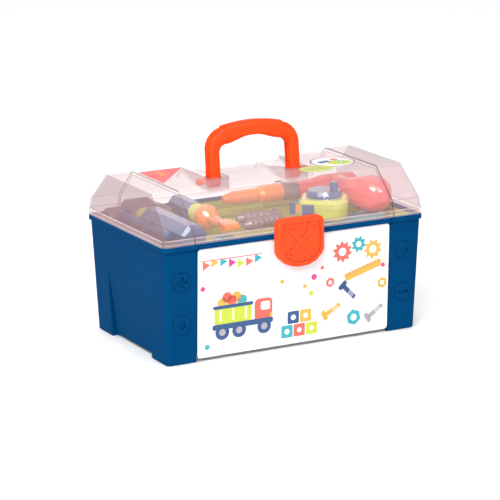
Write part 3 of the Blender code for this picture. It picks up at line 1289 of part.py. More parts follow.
def tape_measure(surfaces):
    """Case halves, crank disc, coiled tape, end tab and lock."""
    base = TRAY_FLOOR_TOP + FIT_GAP * 2 + WRENCH_THICKNESS
    spot = Vector((*TAPE_PLACE, base))
    half, corner, edge, wall = TAPE_HALF, TAPE_CORNER, TAPE_EDGE, TAPE_WALL
    seam = TAPE_HEIGHT / 2

    def outline(inward):
        return rounded_rectangle(half - inward, half - inward, corner - inward, 5)

    strip_low = seam - TAPE_STRIP_HALF_HEIGHT - FIT_GAP * 2
    strip_high = seam + TAPE_STRIP_HALF_HEIGHT + FIT_GAP * 2
    window = ((-half - OVERRUN, -half * TAPE_STRIP_SHARE - FIT_GAP * 2, strip_low),
              (-half + wall * 2, -half * TAPE_STRIP_SHARE + TAPE_STRIP_THICKNESS + FIT_GAP * 2, strip_high))
    lower = skin("tape_case_lower", [along_z(outline(edge), 0.0), along_z(outline(0.0), edge),
                                     along_z(outline(0.0), seam - FIT_GAP / 2)])
    cut(lower, skin("hollow", [along_z(outline(edge + wall), wall), along_z(outline(wall), edge + wall),
                               along_z(outline(wall), seam + OVERRUN)]), box("window", *window))
    upper = skin("tape_case_upper", [along_z(outline(0.0), seam + FIT_GAP / 2),
                                     along_z(outline(0.0), TAPE_HEIGHT - edge),
                                     along_z(outline(edge), TAPE_HEIGHT)])
    cut(upper, skin("hollow", [along_z(outline(wall), seam - OVERRUN),
                               along_z(outline(wall), TAPE_HEIGHT - edge - wall),
                               along_z(outline(edge + wall), TAPE_HEIGHT - wall)]),
        cylinder("axle_hole", "Z", (0.0, 0.0, 0.0), TAPE_AXLE_RADIUS + FIT_GAP * 2,
                 TAPE_HEIGHT - wall - OVERRUN, TAPE_HEIGHT + OVERRUN, 20), box("window", *window))
    parts = [place(finish(lower, surfaces["lime"]), spot, TAPE_TURN),
             place(finish(upper, surfaces["lime"]), spot, TAPE_TURN)]
    disc_low = TAPE_HEIGHT + FIT_GAP
    disc_high = disc_low + TAPE_DISC_HEIGHT
    axle_low = wall + FIT_GAP
    profile = ((axle_low, TAPE_AXLE_RADIUS), (disc_low, TAPE_AXLE_RADIUS),
               (disc_low, TAPE_DISC_RADIUS), (disc_low + TAPE_DISC_HEIGHT * 0.45, TAPE_DISC_RADIUS),
               (disc_high, TAPE_DISC_TOP_RADIUS))
    disc = turned("tape_crank", profile, 20)
    unite(disc, cylinder("knob", "Z", (TAPE_KNOB_OFFSET, 0.0, 0.0), TAPE_KNOB_RADIUS,
                         disc_high - OVERRUN, disc_high + TAPE_KNOB_HEIGHT, 12))
    parts.append(place(finish(disc, surfaces["blue"]), spot, TAPE_TURN))
    coil_low = seam - TAPE_COIL_HEIGHT / 2
    coil = cylinder("tape_coil", "Z", (0.0, 0.0, 0.0), TAPE_COIL_RADIUS, coil_low,
                    coil_low + TAPE_COIL_HEIGHT, 24)
    cut(coil, cylinder("bore", "Z", (0.0, 0.0, 0.0), TAPE_AXLE_RADIUS + FIT_GAP, 0.0, TAPE_HEIGHT, 20))
    parts.append(place(finish(coil, surfaces["amber"]), spot, TAPE_TURN))
    strip_y = -half * TAPE_STRIP_SHARE
    start = -half - TAPE_STRIP_LENGTH
    strip = box("tape_end_strip", (start, strip_y, seam - TAPE_STRIP_HALF_HEIGHT),
                (-half + wall * 2 - FIT_GAP, strip_y + TAPE_STRIP_THICKNESS,
                 seam + TAPE_STRIP_HALF_HEIGHT))
    parts.append(place(finish(strip, surfaces["amber"]), spot, TAPE_TURN))
    middle = strip_y + TAPE_STRIP_THICKNESS / 2
    tab = box("tape_end_tab", (start - FIT_GAP - TAPE_TAB_LENGTH, middle - TAPE_TAB_THICKNESS / 2,
                               seam - TAPE_TAB_HALF_HEIGHT),
              (start - FIT_GAP, middle + TAPE_TAB_THICKNESS / 2, seam + TAPE_TAB_HALF_HEIGHT))
    parts.append(place(finish(soften(tab, RIM_EDGE), surfaces["blue"]), spot, TAPE_TURN))
    face = -half - FIT_GAP
    wide = TAPE_LOCK_HALF_WIDTH
    lock = box("tape_lock", (-wide - half * TAPE_LOCK_SHARE, face - TAPE_LOCK_REACH, edge + FIT_GAP),
               (wide - half * TAPE_LOCK_SHARE, face, TAPE_HEIGHT - edge))
    parts.append(place(finish(soften(lock, RIM_EDGE), surfaces["blue"]), spot, TAPE_TURN))
    return parts


def wrench(surface):
    """The play wrench: an open jaw at one end, an eye at the other."""
    outline = [(share_x * WRENCH_LENGTH, share_y * WRENCH_HALF_WIDTH)
               for share_x, share_y in reversed(WRENCH_OUTLINE_SHARES)]
    edge = RIM_EDGE * 2
    tall = WRENCH_THICKNESS
    body = skin("play_wrench", [along_z(inset(outline, edge), 0.0), along_z(outline, edge),
                                along_z(outline, tall - edge), along_z(inset(outline, edge), tall)])
    cut(body, cylinder("eye", "Z", (WRENCH_EYE_SHARE * WRENCH_LENGTH, 0.0, 0.0), WRENCH_EYE_RADIUS,
                       -OVERRUN, tall + OVERRUN, 16))
    return place(finish(body, surface), (*WRENCH_PLACE, TRAY_FLOOR_TOP + FIT_GAP), WRENCH_TURN)


def pliers_half(name, mirrored, surface):
    """One lever of the pliers, halved where the two cross."""
    flip = -1 if mirrored else 1
    tall = PLIERS_THICKNESS

    def body(label_name, shares):
        points = [(x * PLIERS_LENGTH, flip * y * PLIERS_LENGTH) for x, y in shares]
        if not mirrored:
            points.reverse()
        return prism(label_name, along_z, points, 0.0, tall)

    half = body(name, PLIERS_HANDLE_SHARES)
    unite(half, body("jaw", PLIERS_JAW_SHARES),
          cylinder("boss", "Z", (0.0, 0.0, 0.0), PLIERS_BOSS_RADIUS, 0.0, tall, 20))
    ring = PLIERS_BOSS_RADIUS + FIT_GAP * 2
    low, high = (-OVERRUN, tall / 2 + FIT_GAP / 2) if mirrored else (tall / 2 - FIT_GAP / 2,
                                                                    tall + OVERRUN)
    cut(half, cylinder("lap", "Z", (0.0, 0.0, 0.0), ring, low, high, 20),
        cylinder("rivet_hole", "Z", (0.0, 0.0, 0.0), PLIERS_RIVET_RADIUS + FIT_GAP, -OVERRUN,
                 tall + OVERRUN, 16))
    return finish(half, surface)


def pliers(surfaces):
    """Two levers and their rivet, lying on the tub's floor."""
    spot = (*PLIERS_PLACE, FLOOR_TOP + FIT_GAP * 2 + PLIERS_RIVET_HEAD_HEIGHT)
    parts = [place(pliers_half("pliers_lever_lower", False, surfaces["coral"]), spot, PLIERS_TURN),
             place(pliers_half("pliers_lever_upper", True, surfaces["coral"]), spot, PLIERS_TURN)]
    tall = PLIERS_THICKNESS
    head = PLIERS_RIVET_HEAD_HEIGHT
    profile = ((-FIT_GAP - head, PLIERS_RIVET_HEAD), (-FIT_GAP, PLIERS_RIVET_HEAD),
               (-FIT_GAP, PLIERS_RIVET_RADIUS), (tall + FIT_GAP, PLIERS_RIVET_RADIUS),
               (tall + FIT_GAP, PLIERS_RIVET_HEAD), (tall + FIT_GAP + head, PLIERS_RIVET_HEAD))
    rivet = turned("pliers_rivet", profile, 16, phase=0.5)
    parts.append(place(finish(rivet, surfaces["grey"]), spot, PLIERS_TURN))
    return parts


def bolt(name, surface):
    """A ribbed play bolt along -Y, its head at zero."""
    head, tall, shank = BOLT_HEAD_RADIUS, BOLT_HEAD_HEIGHT, BOLT_SHANK_RADIUS
    profile = [(0.0, head * 0.80), (-tall * 0.3, head), (-tall, head), (-tall, shank + BOLT_RIB)]
    pitch = (BOLT_LENGTH - tall) / (BOLT_RIBS + 1)
    for index in range(BOLT_RIBS):
        start = -tall - pitch * (index + 1)
        profile += [(start + pitch * 0.5, shank), (start, shank + BOLT_RIB)]
    profile += [(-BOLT_LENGTH, shank * 0.7)]
    return finish(turned(name, profile, 12, axis="Y", phase=0.5), surface)


def side_bolts(surface):
    """Blue bolts beside the hammer's grip: two on the tray's floor, two lying on top of them."""
    wall_x = tray_wall_x()
    low_x = wall_x + SIDE_BOLT_WALL_GAP + BOLT_HEAD_RADIUS
    low_z = TRAY_FLOOR_TOP + FIT_GAP + BOLT_HEAD_RADIUS
    high_x = low_x + SIDE_BOLT_STEP
    high_z = low_z + math.sqrt((BOLT_HEAD_RADIUS * 2) ** 2 - SIDE_BOLT_STEP ** 2) + FIT_GAP / 3
    back = SIDE_BOLT_BACK_Y
    front = back - BOLT_LENGTH - SIDE_BOLT_SPACING
    return [place(bolt(name, surface), spot)
            for name, spot in (("blue_bolt_low_back", (low_x, back, low_z)),
                               ("blue_bolt_low_front", (low_x, front, low_z)),
                               ("blue_bolt_top_back", (high_x, back, high_z)),
                               ("blue_bolt_top_front", (high_x, front, high_z)))]


def loose_bolts(surface):
    """Grey bolts that lie on the tray's floor and on the tub's floor."""
    parts = []
    for level, places, word in ((TRAY_FLOOR_TOP, TRAY_BOLT_PLACES, "tray"),
                                (FLOOR_TOP, FLOOR_BOLT_PLACES, "floor")):
        for index, (x, y, angle) in enumerate(places):
            spot = (x, y, level + FIT_GAP + BOLT_HEAD_RADIUS)
            item = bolt(f"grey_bolt_{word}_{index + 1}", surface)
            parts.append(place(item, spot, math.radians(angle)))
    return parts


def nuts(surface):
    """Six-lobed play nuts in the tray and on the tub's floor."""
    parts = []
    for level, places, word in ((TRAY_FLOOR_TOP, TRAY_NUT_PLACES, "tray"),
                                (FLOOR_TOP, FLOOR_NUT_PLACES, "floor")):
        for index, (x, y) in enumerate(places):
            name = f"play_nut_{word}_{index + 1}"
            tall, edge = NUT_HEIGHT, RIM_EDGE * 2
            outline = circle((0.0, 0.0), NUT_RADIUS, 6)
            body = skin(name, [along_z(inset(outline, edge), 0.0), along_z(outline, edge),
                               along_z(outline, tall - edge), along_z(inset(outline, edge), tall)])
            cut(body, cylinder("bore", "Z", (0.0, 0.0, 0.0), NUT_BORE, -OVERRUN, tall + OVERRUN, 12))
            parts.append(place(finish(body, surface), (x, y, level + FIT_GAP)))
    return parts


def play_share(items):
    """How far the laid-out play set is from filling the tray's length or depth."""
    bpy.context.view_layer.update()
    spots = [item.matrix_world @ vert.co for item in items for vert in item.data.vertices]
    inward = WALL + TRAY_WALL_GAP + TRAY_WALL
    length = WALL_HALF_LENGTH - inward - PLAY_END_GAP
    depth = WALL_HALF_DEPTH - inward - PLAY_SIDE_GAP
    return min(length / max(abs(spot.x) for spot in spots),
               depth / max(abs(spot.y) for spot in spots))


def fit_play_set(items, share, anchor_x):
    """Sizes play pieces for the box, about the floor or the wall they lie on."""
    for item in items:
        low = min((item.matrix_world @ vert.co).z for vert in item.data.vertices)
        level = TRAY_FLOOR_TOP if low > TRAY_BOTTOM else FLOOR_TOP
        anchor = Vector((anchor_x, 0.0, level))
        item.data.transform(Matrix.Scale(share, 4))
        item.location = anchor + (item.location - anchor) * share


def surfaces():
    """The materials of the box and its tools."""
    return {
        "blue": material("blue_plastic", BLUE, 0.38),
        "orange": material("orange_plastic", ORANGE, 0.35),
        "lime": material("lime_plastic", LIME, 0.35),
        "coral": material("coral_plastic", CORAL, 0.35),
        "teal": material("teal_plastic", TEAL, 0.35),
        "amber": material("amber_plastic", AMBER, 0.35),
        "grey": material("grey_plastic", GREY, 0.40),
        "clear": material("clear_plastic", CLEAR, 0.08, 0.3),
        "card": material("printed_card", PAPER, 0.55),
        "coral_label": material("coral_label", CORAL, 0.5),
        "white_label": material("white_label", PAPER, 0.5),
        "lime_label": material("lime_label", LIME, 0.5),
    }


def build():
    """Makes the whole tool box."""
    clear_scene()
    paint = surfaces()
    tub = base_tub(paint["blue"])
    door = front_door(paint["blue"])
    attach(front_card(paint["card"]), door)
    attach(latch_pin(paint["blue"]), door)
    attach(latch(paint["orange"]), door)
    attach(door, tub)
    attach(tray(paint["lime"]), tub)
    lid = lid_shell(paint["clear"])
    for name, station in (("lid_hinge_pin_left", -HINGE_STATION_X),
                          ("lid_hinge_pin_right", HINGE_STATION_X)):
        attach(hinge_pin(name, station, paint["blue"]), tub)
    attach(carry_handle(paint["orange"]), lid)
    attach(label("corner_label", triangle_outline(), 0.0, paint["coral_label"]), lid)
    attach(label("oval_label", big_oval_outline(), 0.0, paint["white_label"]), lid)
    attach(label("small_label", oval_outline(SMALL_LABEL_HALF, SMALL_LABEL_PLACE),
                 LABEL_THICKNESS + LABEL_GAP, paint["lime_label"]), lid)
    attach(lid, tub)
    loose = (hammer(paint) + screwdriver(paint) + drill(paint) + tape_measure(paint)
             + [wrench(paint["teal"])] + pliers(paint) + loose_bolts(paint["grey"])
             + nuts(paint["teal"]))
    beside = side_bolts(paint["blue"])
    share = play_share(loose)
    fit_play_set(loose, share, 0.0)
    fit_play_set(beside, share, tray_wall_x())
    for item in loose + beside:
        attach(item, tub)


build()
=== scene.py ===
"""Toy tool box: finish, printed card, labels, lid bead, studio light and camera."""

import math

import bmesh
import bpy
from mathutils import Matrix, Vector

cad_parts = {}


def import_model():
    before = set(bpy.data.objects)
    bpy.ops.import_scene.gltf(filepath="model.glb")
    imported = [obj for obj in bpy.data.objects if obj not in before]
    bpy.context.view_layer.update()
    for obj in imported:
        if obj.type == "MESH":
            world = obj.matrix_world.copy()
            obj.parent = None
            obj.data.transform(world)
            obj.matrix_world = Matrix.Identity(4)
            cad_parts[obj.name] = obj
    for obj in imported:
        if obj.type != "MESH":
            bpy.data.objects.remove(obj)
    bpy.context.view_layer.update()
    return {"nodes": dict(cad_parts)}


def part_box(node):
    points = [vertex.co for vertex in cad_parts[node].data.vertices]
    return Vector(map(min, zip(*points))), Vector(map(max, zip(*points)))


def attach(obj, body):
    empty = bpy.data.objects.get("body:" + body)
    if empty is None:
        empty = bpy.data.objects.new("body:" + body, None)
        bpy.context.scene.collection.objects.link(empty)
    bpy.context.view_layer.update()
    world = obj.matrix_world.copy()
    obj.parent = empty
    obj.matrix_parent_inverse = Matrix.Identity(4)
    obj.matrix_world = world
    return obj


BLACK = (0.0, 0.0, 0.0, 1.0)
WHITE = (1.0, 1.0, 1.0, 1.0)

# Camera, in metres and degrees
CAMERA_PLACE = (-1.12158137, -2.09891967, 0.68344797)
CAMERA_TARGET = (-0.004715, 0.001981, 0.079405)
CAMERA_ROLL = math.radians(-0.617)
CAMERA_LENS = 180.0
CAMERA_SENSOR = 36.0
CAMERA_NEAR = 0.05

# Lamps: name, place, height aimed at, size, power, and whether it lights matt surfaces
STRIP_SIZE = (0.07, 1.5)
STRIP_POWER = 75.0
LAMPS = (
    ("key", (-1.25, -1.35, 1.35), 0.08, (1.1, 1.1), 38.0, True),
    ("strip_left", (-1.2, -1.1, 0.9), 0.10, STRIP_SIZE, STRIP_POWER, False),
    ("strip_middle", (-0.5, -1.7, 1.1), 0.10, STRIP_SIZE, STRIP_POWER, False),
    ("strip_right", (0.5, -1.7, 1.0), 0.10, STRIP_SIZE, STRIP_POWER, False),
    ("top", (0.1, 0.2, 1.8), 0.10, (0.9, 0.9), 3.0, True),
)
WORLD_LIGHT = 0.62

# Floor, with a painted contact shadow where it nears the object
FLOOR_SIZE = 12.0
FLOOR_GLOW = 0.40
SHADE_REACH = 0.03
SHADE_SAMPLES = 16
DUST_SCALE = 40.0
DUST_TONES = ((0.80, 0.80, 0.80, 1.0), (0.83, 0.83, 0.83, 1.0))

# Moulded plastic: noise scales per metre, relief, painted shade in creases, and edges lighter partly
# from wear and partly as a painted highlight
FLOW_SCALE = 22.0
SPECK_SCALE = 1400.0
SMEAR_SCALE = 90.0
SCUFF_SCALE = 260.0
SCUFF_EDGE, SCUFF_SOFT = 0.36, 0.03
SCUFF_SHARE, SCUFF_SHADE = 0.10, 1.35
SMEAR_GLOSS, SCUFF_GLOSS = 0.10, 0.05
FLOW_SHADES = (0.93, 1.07)
GRAIN_HEIGHT = 0.00004
CORNER_SAMPLES = 8
CREASE_REACH = 0.0022
CREASE_SHADE_SHARE, CREASE_SHADE = 1.6, 0.35
EDGE_REACH = 0.0009
WEAR_AND_SHEEN_SHARE, WEAR_AND_SHEEN_LIGHTNESS = 0.5, 1.5
COAT_ROUGHNESS = 0.03

# Paper, spring wire and measuring tape
FIBRE_SCALE = 2600.0
CLOUD_SCALE = 30.0
FIBRE_HEIGHT = 0.00002
PAPER_SHADES = (0.965, 1.02)
PAPER_COAT, PAPER_COAT_ROUGHNESS = 0.15, 0.25
INK_GLOSS = 0.38
LABEL_GLOSS = 0.30
WIRE_SCALE = 900.0
WIRE_TONES = ("#8c8f93", "#c4c7ca")
WIRE_HEIGHT = 0.00002
TAPE_SCALE = 500.0
TAPE_TONES = ("#b96f1c", "#f4b04a")
TAPE_TURN = 0.0004
TAPE_GROOVE = 0.0001

# Lid: the places where its walls are seen on edge, which get painted dark lines, and the height of a
# painted highlight line on its rim band
RIM_TOP = 0.12242
STEP_X = 0.1082
LID_END_X = 0.1400
LID_LEAN = 0.102
LID_EDGES = ((0.0812, 0.1327), (0.0498, 0.1605), (0.0498, 0.1593))
WELL_WALLS_X = (0.0330, 0.0546)
WELL_FRONT_Y = -0.0100
WELL_FLOOR_Z = 0.1470
HIGHLIGHT_LINE_Z = 0.1186

# Lid: half widths of the lines drawn there, and how strong each is; most are painted dark lines, and
# the edge share is a painted highlight
LINE_WIDTH = 0.0006
LINE_SOFT = 0.0002
STEP_LINE_WIDTH = 0.0005
BAND_LINE_WIDTH = 0.0004
BAND_SOFT = 0.0001
CORNER_LINE_SHARE = 0.60
END_LINE_SHARE = 0.80
WELL_LINE_SHARE = 0.80
EDGE_HIGHLIGHT_SHARE = 1.2

# Lid: colours of the veil, the rim band, its line, the painted highlight and the painted dark lines
VEIL_TONES = ("#c4a6a8", "#ceb1b2")
BAND_TONE, BAND_TINT = "#c9aaa4", 0.5
BAND_LINE_TONE, BAND_LINE_TINT = "#6e4450", 0.8
PAINTED_HIGHLIGHT_TONE = "#dccaca"
LINE_TONE = "#4c2a36"

# Lid: how solid the veil is, by part
VEIL_ALPHA = 0.07
SLANT_ALPHA = 0.20
FLOW_ALPHA = 0.03
LINE_ALPHA = 0.45
BAND_ALPHA = 0.02
BAND_LINE_ALPHA = 0.20
LID_CLEARNESS = 0.85

# Lid: its painted glow, its polish, its dimmed surface, and less painted glow on faces seen at a
# glance
LID_PAINTED_GLOW = 1.65
LID_SHINE = 0.3
LID_ROUGHNESS = 0.05
LID_DIM = 0.80
GLANCE_EDGE, GLANCE_SOFT = 0.75, 0.12
GLANCE_DIM = 0.9
LID_FLOW_SCALE = 14.0
LID_WAVE = 0.0004
SCRATCH_SCALE = 700.0
SCRATCH_EDGE, SCRATCH_SOFT = 0.33, 0.03

# Lid rim bead
BEAD_WIDTH = 0.0007
BEAD_HEIGHT = 0.0007
BEAD_CORNER = 0.0055
BEAD_INSET = 0.0006

# Finish of the CAD nodes: colour, roughness, shine and clear coat
FINISHES = {
    "blue": ("#004373", 0.45, 0.012),
    "navy_grip": ("#005687", 0.10, 0.45, 0.8),
    "orange": ("#ff4a10", 0.48, 0.05),
    "latch": ("#ff5226", 0.48, 0.05),
    # The tray is lime, set darker than the lime tools as painted shade from under the lid.
    "lime": ("#a6ae38", 0.42, 0.15),
    "lime_tool": ("#d2dc5a", 0.11, 0.45, 0.6),
    "coral": ("#ff6462", 0.09, 0.45, 0.6),
    "teal": ("#009fb0", 0.11, 0.45, 0.6),
    "amber": ("#ff9038", 0.11, 0.45, 0.8),
    "grey": ("#8a7f81", 0.22, 0.14),
}
NODE_FINISH = (
    ("blue", ("base_tub", "front_door", "latch_pin", "lid_hinge_pin_left", "lid_hinge_pin_right")),
    ("navy_grip", ("hammer_grip", "screwdriver_grip", "tape_crank", "tape_end_tab", "tape_lock",
                   "blue_bolt_low_back", "blue_bolt_low_front", "blue_bolt_top_back",
                   "blue_bolt_top_front")),
    ("orange", ("carry_handle",)),
    ("latch", ("latch",)),
    ("lime", ("tool_tray",)),
    ("lime_tool", ("hammer_collar", "screwdriver_collar", "tape_case_lower", "tape_case_upper")),
    ("coral", ("drill_shell_lower", "drill_shell_upper", "pliers_lever_lower",
               "pliers_lever_upper")),
    ("teal", ("drill_trigger", "play_wrench", "play_nut_tray_1", "play_nut_tray_2",
              "play_nut_tray_3", "play_nut_tray_4", "play_nut_floor_1", "play_nut_floor_2")),
    ("amber", ("screwdriver_bit", "drill_bit", "tape_end_strip")),
    ("grey", ("hammer_head", "drill_chuck", "pliers_rivet", "grey_bolt_tray_1",
              "grey_bolt_tray_2", "grey_bolt_tray_3", "grey_bolt_floor_1")),
)
LABEL_PAPERS = (("corner_label", "coral_label", "#ff4a48"), ("oval_label", "white_label", "#f6eef2"),
                ("small_label", "lime_label", "#c9d23c"))

# Printing inks
INKS = (
    ("navy", "#0a4a82"), ("lime", "#c6d62f"), ("coral", "#f7604f"), ("amber", "#f7b13c"),
    ("teal", "#12a9b4"), ("grey", "#aaa4aa"), ("pink", "#e6208a"), ("purple", "#7a2c86"),
    ("leaf", "#93a428"), ("yellow", "#f4c21e"),
)
CARD_PAPER, CARD_GLOSS = "#fdf6f8", 0.40
FRONT_NORMAL_Y = -0.8
INK_LIFT = 0.00004
INK_LAYER = 0.00005
ROUND_SIDES = 28
CORNER_STEPS = 4

# Card print, in metres along the card from its middle and up from its foot
CARD_INKS = ("paper", "navy", "lime", "coral", "amber", "teal", "grey", "pink")
FLAG_INKS = ("coral", "amber", "teal", "pink", "lime", "coral", "teal")
FLAG_FIRST = (-0.0965, 0.0905)
FLAG_STEP = 0.0092
FLAG_SWING = 0.0022
FLAG_WAVE = 1.1
FLAG_RADIUS = 0.0052
FLAG_LINE = ("coral", (-0.0690, 0.0950), (0.0650, 0.0009), 0.0004, 1)

BALL_RADIUS = 0.0052
BALLS = (("amber", (-0.0780, 0.0515)), ("coral", (-0.0680, 0.0530)), ("teal", (-0.0570, 0.0520)),
         ("amber", (-0.0630, 0.0560)), ("coral", (-0.0730, 0.0565)))
# Bars of the truck: ink, middle, size, corner and layer
TRUCK_BARS = (
    ("lime", (-0.0665, 0.0400), (0.0400, 0.0190), 0.0030, 1),
    ("navy", (-0.0665, 0.0475), (0.0430, 0.0035), 0.0014, 2),
    ("paper", (-0.0800, 0.0390), (0.0016, 0.0120), 0.0007, 2),
    ("paper", (-0.0665, 0.0390), (0.0016, 0.0120), 0.0007, 2),
    ("paper", (-0.0530, 0.0390), (0.0016, 0.0120), 0.0007, 2),
    ("coral", (-0.0340, 0.0390), (0.0190, 0.0230), 0.0045, 1),
    ("paper", (-0.0320, 0.0430), (0.0100, 0.0085), 0.0022, 2),
    ("navy", (-0.0560, 0.0280), (0.0650, 0.0055), 0.0020, 2),
    ("amber", (-0.0255, 0.0330), (0.0030, 0.0045), 0.0010, 2),
)
WHEELS_X = (-0.0780, -0.0600, -0.0330)
WHEEL_Y = 0.0225
TYRE_RADIUS = 0.0074
HUB_RADIUS = 0.0034

BLOCK_INKS = ("teal", "coral", "lime", "navy", "amber", "paper")
BLOCK_ROWS = ((0, 0), (1, 0), (2, 0), (0.5, 1), (1.5, 1), (1, 2))
BLOCK_PLACE = (-0.0080, 0.0130)
BLOCK_SIZE = 0.0125
BLOCK_PITCH = 1.08 * BLOCK_SIZE
BLOCK_CORNER = 0.12 * BLOCK_SIZE
BLOCK_MARK = 0.22 * BLOCK_SIZE
BLOCK_MARK_SIDES = (28, 6, 4)

# Gears: ink, middle, radius, teeth and hole
GEARS = (("coral", (0.0520, 0.0850), 0.0105, 10, 0.0042),
         ("teal", (0.0700, 0.0905), 0.0080, 8, 0.0030),
         ("amber", (0.0860, 0.0835), 0.0098, 9, 0.0040))
GEAR_ROOT_SHARE = 0.76

# Nuts: ink, middle and radius. Bolts: ink, middle and turn
NUTS = (("teal", (0.0660, 0.0170), 0.0082), ("amber", (0.0975, 0.0480), 0.0056),
        ("coral", (0.0390, 0.0560), 0.0050))
NUT_TURN = 0.2
NUT_HOLE_SHARE = 0.42
BOLTS = (("grey", (0.0900, 0.0200), 0.6), ("navy", (0.0600, 0.0440), -0.8),
         ("amber", (0.0420, 0.0280), 0.5))
BOLT_SHAFT, BOLT_SHAFT_CORNER = (0.0190, 0.0046), 0.0010
BOLT_HEAD, BOLT_HEAD_CORNER = (0.0048, 0.0105), 0.0014
BOLT_HEAD_BACK = 0.0100
THREADS = 4
THREAD_SIZE = (0.0005, 0.0046)
THREAD_FIRST, THREAD_STEP, THREAD_TURN = 0.0005, 0.0018, 0.25

RULER_PLACE = (0.0755, 0.0640)
RULER_SIZE, RULER_CORNER = (0.0420, 0.0075), 0.0012
RULER_TURN = 0.28
TICKS = 13
TICK_STEP = 0.0030
TICK_WIDTH = 0.0005
TICK_LONG, TICK_SHORT = 0.0034, 0.0020
TICK_TOP = 0.0036

# Loose dots: ink, middle and radius
DOTS = (
    ("pink", (0.0210, 0.0640), 0.0030), ("amber", (0.0110, 0.0560), 0.0020),
    ("coral", (0.0300, 0.0720), 0.0018), ("pink", (-0.0990, 0.0680), 0.0024),
    ("teal", (-0.0940, 0.0100), 0.0026), ("pink", (0.0980, 0.0660), 0.0022),
    ("amber", (-0.0140, 0.0640), 0.0022), ("lime", (0.0180, 0.0480), 0.0026),
)

# Marks on the labels, in metres from each label's middle
CORNER_ROWS = ((0.0, 0.0085), (0.0012, 0.0110), (-0.0022, 0.0070))
CORNER_FIRST = (-0.0085, 0.0170)
CORNER_DROP = 0.0072
CORNER_BAR, CORNER_BAR_CORNER, CORNER_BAR_TURN = 0.0016, 0.0007, 0.5
CORNER_DOT, CORNER_DOT_SIDES, CORNER_DOT_UP, CORNER_DOT_SHARE = 0.0011, 12, 0.0022, 0.75
OVAL_OUTER, OVAL_INNER, OVAL_SIDES, OVAL_TALL = 0.0228, 0.0210, 48, 0.98
# Discs on the oval label: ink, offset, radius, sides, layer and height share
OVAL_DISCS = (
    ("lime", (0.0050, -0.0060), 0.0125, 32, 2, 0.80), ("coral", (0.0060, 0.0080), 0.0042, 20, 3, 1.0),
    ("teal", (0.0080, -0.0040), 0.0040, 6, 3, 1.0), ("paper", (0.0080, -0.0040), 0.0016, 16, 4, 1.0),
)
OVAL_BAR_PLACE, OVAL_BAR = (-0.0080, 0.0030), (0.0130, 0.0075)
OVAL_BAR_TURN, OVAL_BAR_CORNER, OVAL_BAR_LAYER = 0.1, 0.0016, 3
DASH_ROWS = (4, 6, 5)
DASH_STEP = 0.0042
DASH_SIZE, DASH_CORNER = (0.0030, 0.0012), 0.0005


def linear(code):
    """Linear colour of an sRGB hex code."""
    parts = [int(code[index:index + 2], 16) / 255 for index in (1, 3, 5)]
    return tuple(part / 12.92 if part <= 0.04045 else ((part + 0.055) / 1.055) ** 2.4
                 for part in parts) + (1.0,)


def shade(colour, share):
    """The colour made darker or lighter."""
    return tuple(min(1.0, part * share) for part in colour[:3]) + (1.0,)


# Shader maths
class Value:
    """A shader socket that can be used in arithmetic."""

    def __init__(self, tree, socket):
        self.tree = tree
        self.socket = socket

    def maths(self, operation, *values, clamp=False):
        settings = {"operation": operation, "use_clamp": clamp}
        return self.tree.node("ShaderNodeMath", settings, dict(enumerate(values)))

    def __add__(self, other):
        return self.maths("ADD", self, other)

    __radd__ = __add__

    def __sub__(self, other):
        return self.maths("SUBTRACT", self, other)

    def __rsub__(self, other):
        return self.maths("SUBTRACT", other, self)

    def __mul__(self, other):
        return self.maths("MULTIPLY", self, other)

    __rmul__ = __mul__

    def __truediv__(self, other):
        return self.maths("DIVIDE", self, other)

    def __abs__(self):
        return self.maths("ABSOLUTE", self)

    def root(self):
        return self.maths("SQRT", self)

    def larger(self, other):
        return self.maths("MAXIMUM", self, other)

    def below(self, edge, soft):
        """1 below the edge and 0 above it, with a soft step."""
        return self.maths("DIVIDE", edge + soft - self, 2 * soft, clamp=True)

    def above(self, edge, soft):
        """1 above the edge and 0 below it, with a soft step."""
        return (edge - self).below(0.0, soft)

    def near(self, place, wide=LINE_WIDTH):
        """1 within a line's half width of a place."""
        return abs(self - place).below(wide, LINE_SOFT)


class Tree:
    """The node tree of a material or of the world."""

    def __init__(self, owner, shader="Principled BSDF"):
        owner.use_nodes = True
        self.owner = owner
        self.nodes = owner.node_tree.nodes
        self.links = owner.node_tree.links
        self.shader = self.nodes[shader]

    def node(self, kind, settings, inputs, output=0):
        """Adds a node, sets it, fills its sockets and returns one output."""
        made = self.nodes.new(kind)
        for key, value in settings.items():
            setattr(made, key, value)
        for key, value in inputs.items():
            self.fill(made.inputs[key], value)
        return Value(self, made.outputs[output])

    def fill(self, socket, value):
        if isinstance(value, Value):
            self.links.new(value.socket, socket)
        else:
            socket.default_value = value

    def place(self):
        """Object coordinates and their three parts."""
        point = self.node("ShaderNodeTexCoord", {}, {}, "Object")
        parts = [self.node("ShaderNodeSeparateXYZ", {}, {0: point}, axis) for axis in range(3)]
        return point, parts

    def noise(self, point, scale, detail=3.0, rough=0.5):
        return self.node("ShaderNodeTexNoise", {}, {"Vector": point, "Scale": scale,
                                                    "Detail": detail, "Roughness": rough})

    def blend(self, factor, first, second):
        """Mixes two colours."""
        settings = {"data_type": "RGBA", "clamp_factor": True}
        return self.node("ShaderNodeMix", settings, {0: factor, 6: first, 7: second}, 2)

    def corner(self, reach, outer):
        """1 along the piece's own outer or inner corners and 0 on its open faces."""
        settings = {"samples": CORNER_SAMPLES, "only_local": True, "inside": outer}
        return 1.0 - self.node("ShaderNodeAmbientOcclusion", settings, {"Distance": reach}, "AO")

    def ray(self, kind):
        """1 for rays of one kind, such as Is Camera Ray."""
        return self.node("ShaderNodeLightPath", {}, {}, kind)

    def bump(self, height, distance):
        return self.node("ShaderNodeBump", {}, {"Height": height, "Distance": distance,
                                                "Strength": 1.0})

    def finish(self, **inputs):
        for key, value in inputs.items():
            self.fill(self.shader.inputs[key.replace("_", " ")], value)
        return self.owner


def material(name):
    return Tree(bpy.data.materials.new(name))


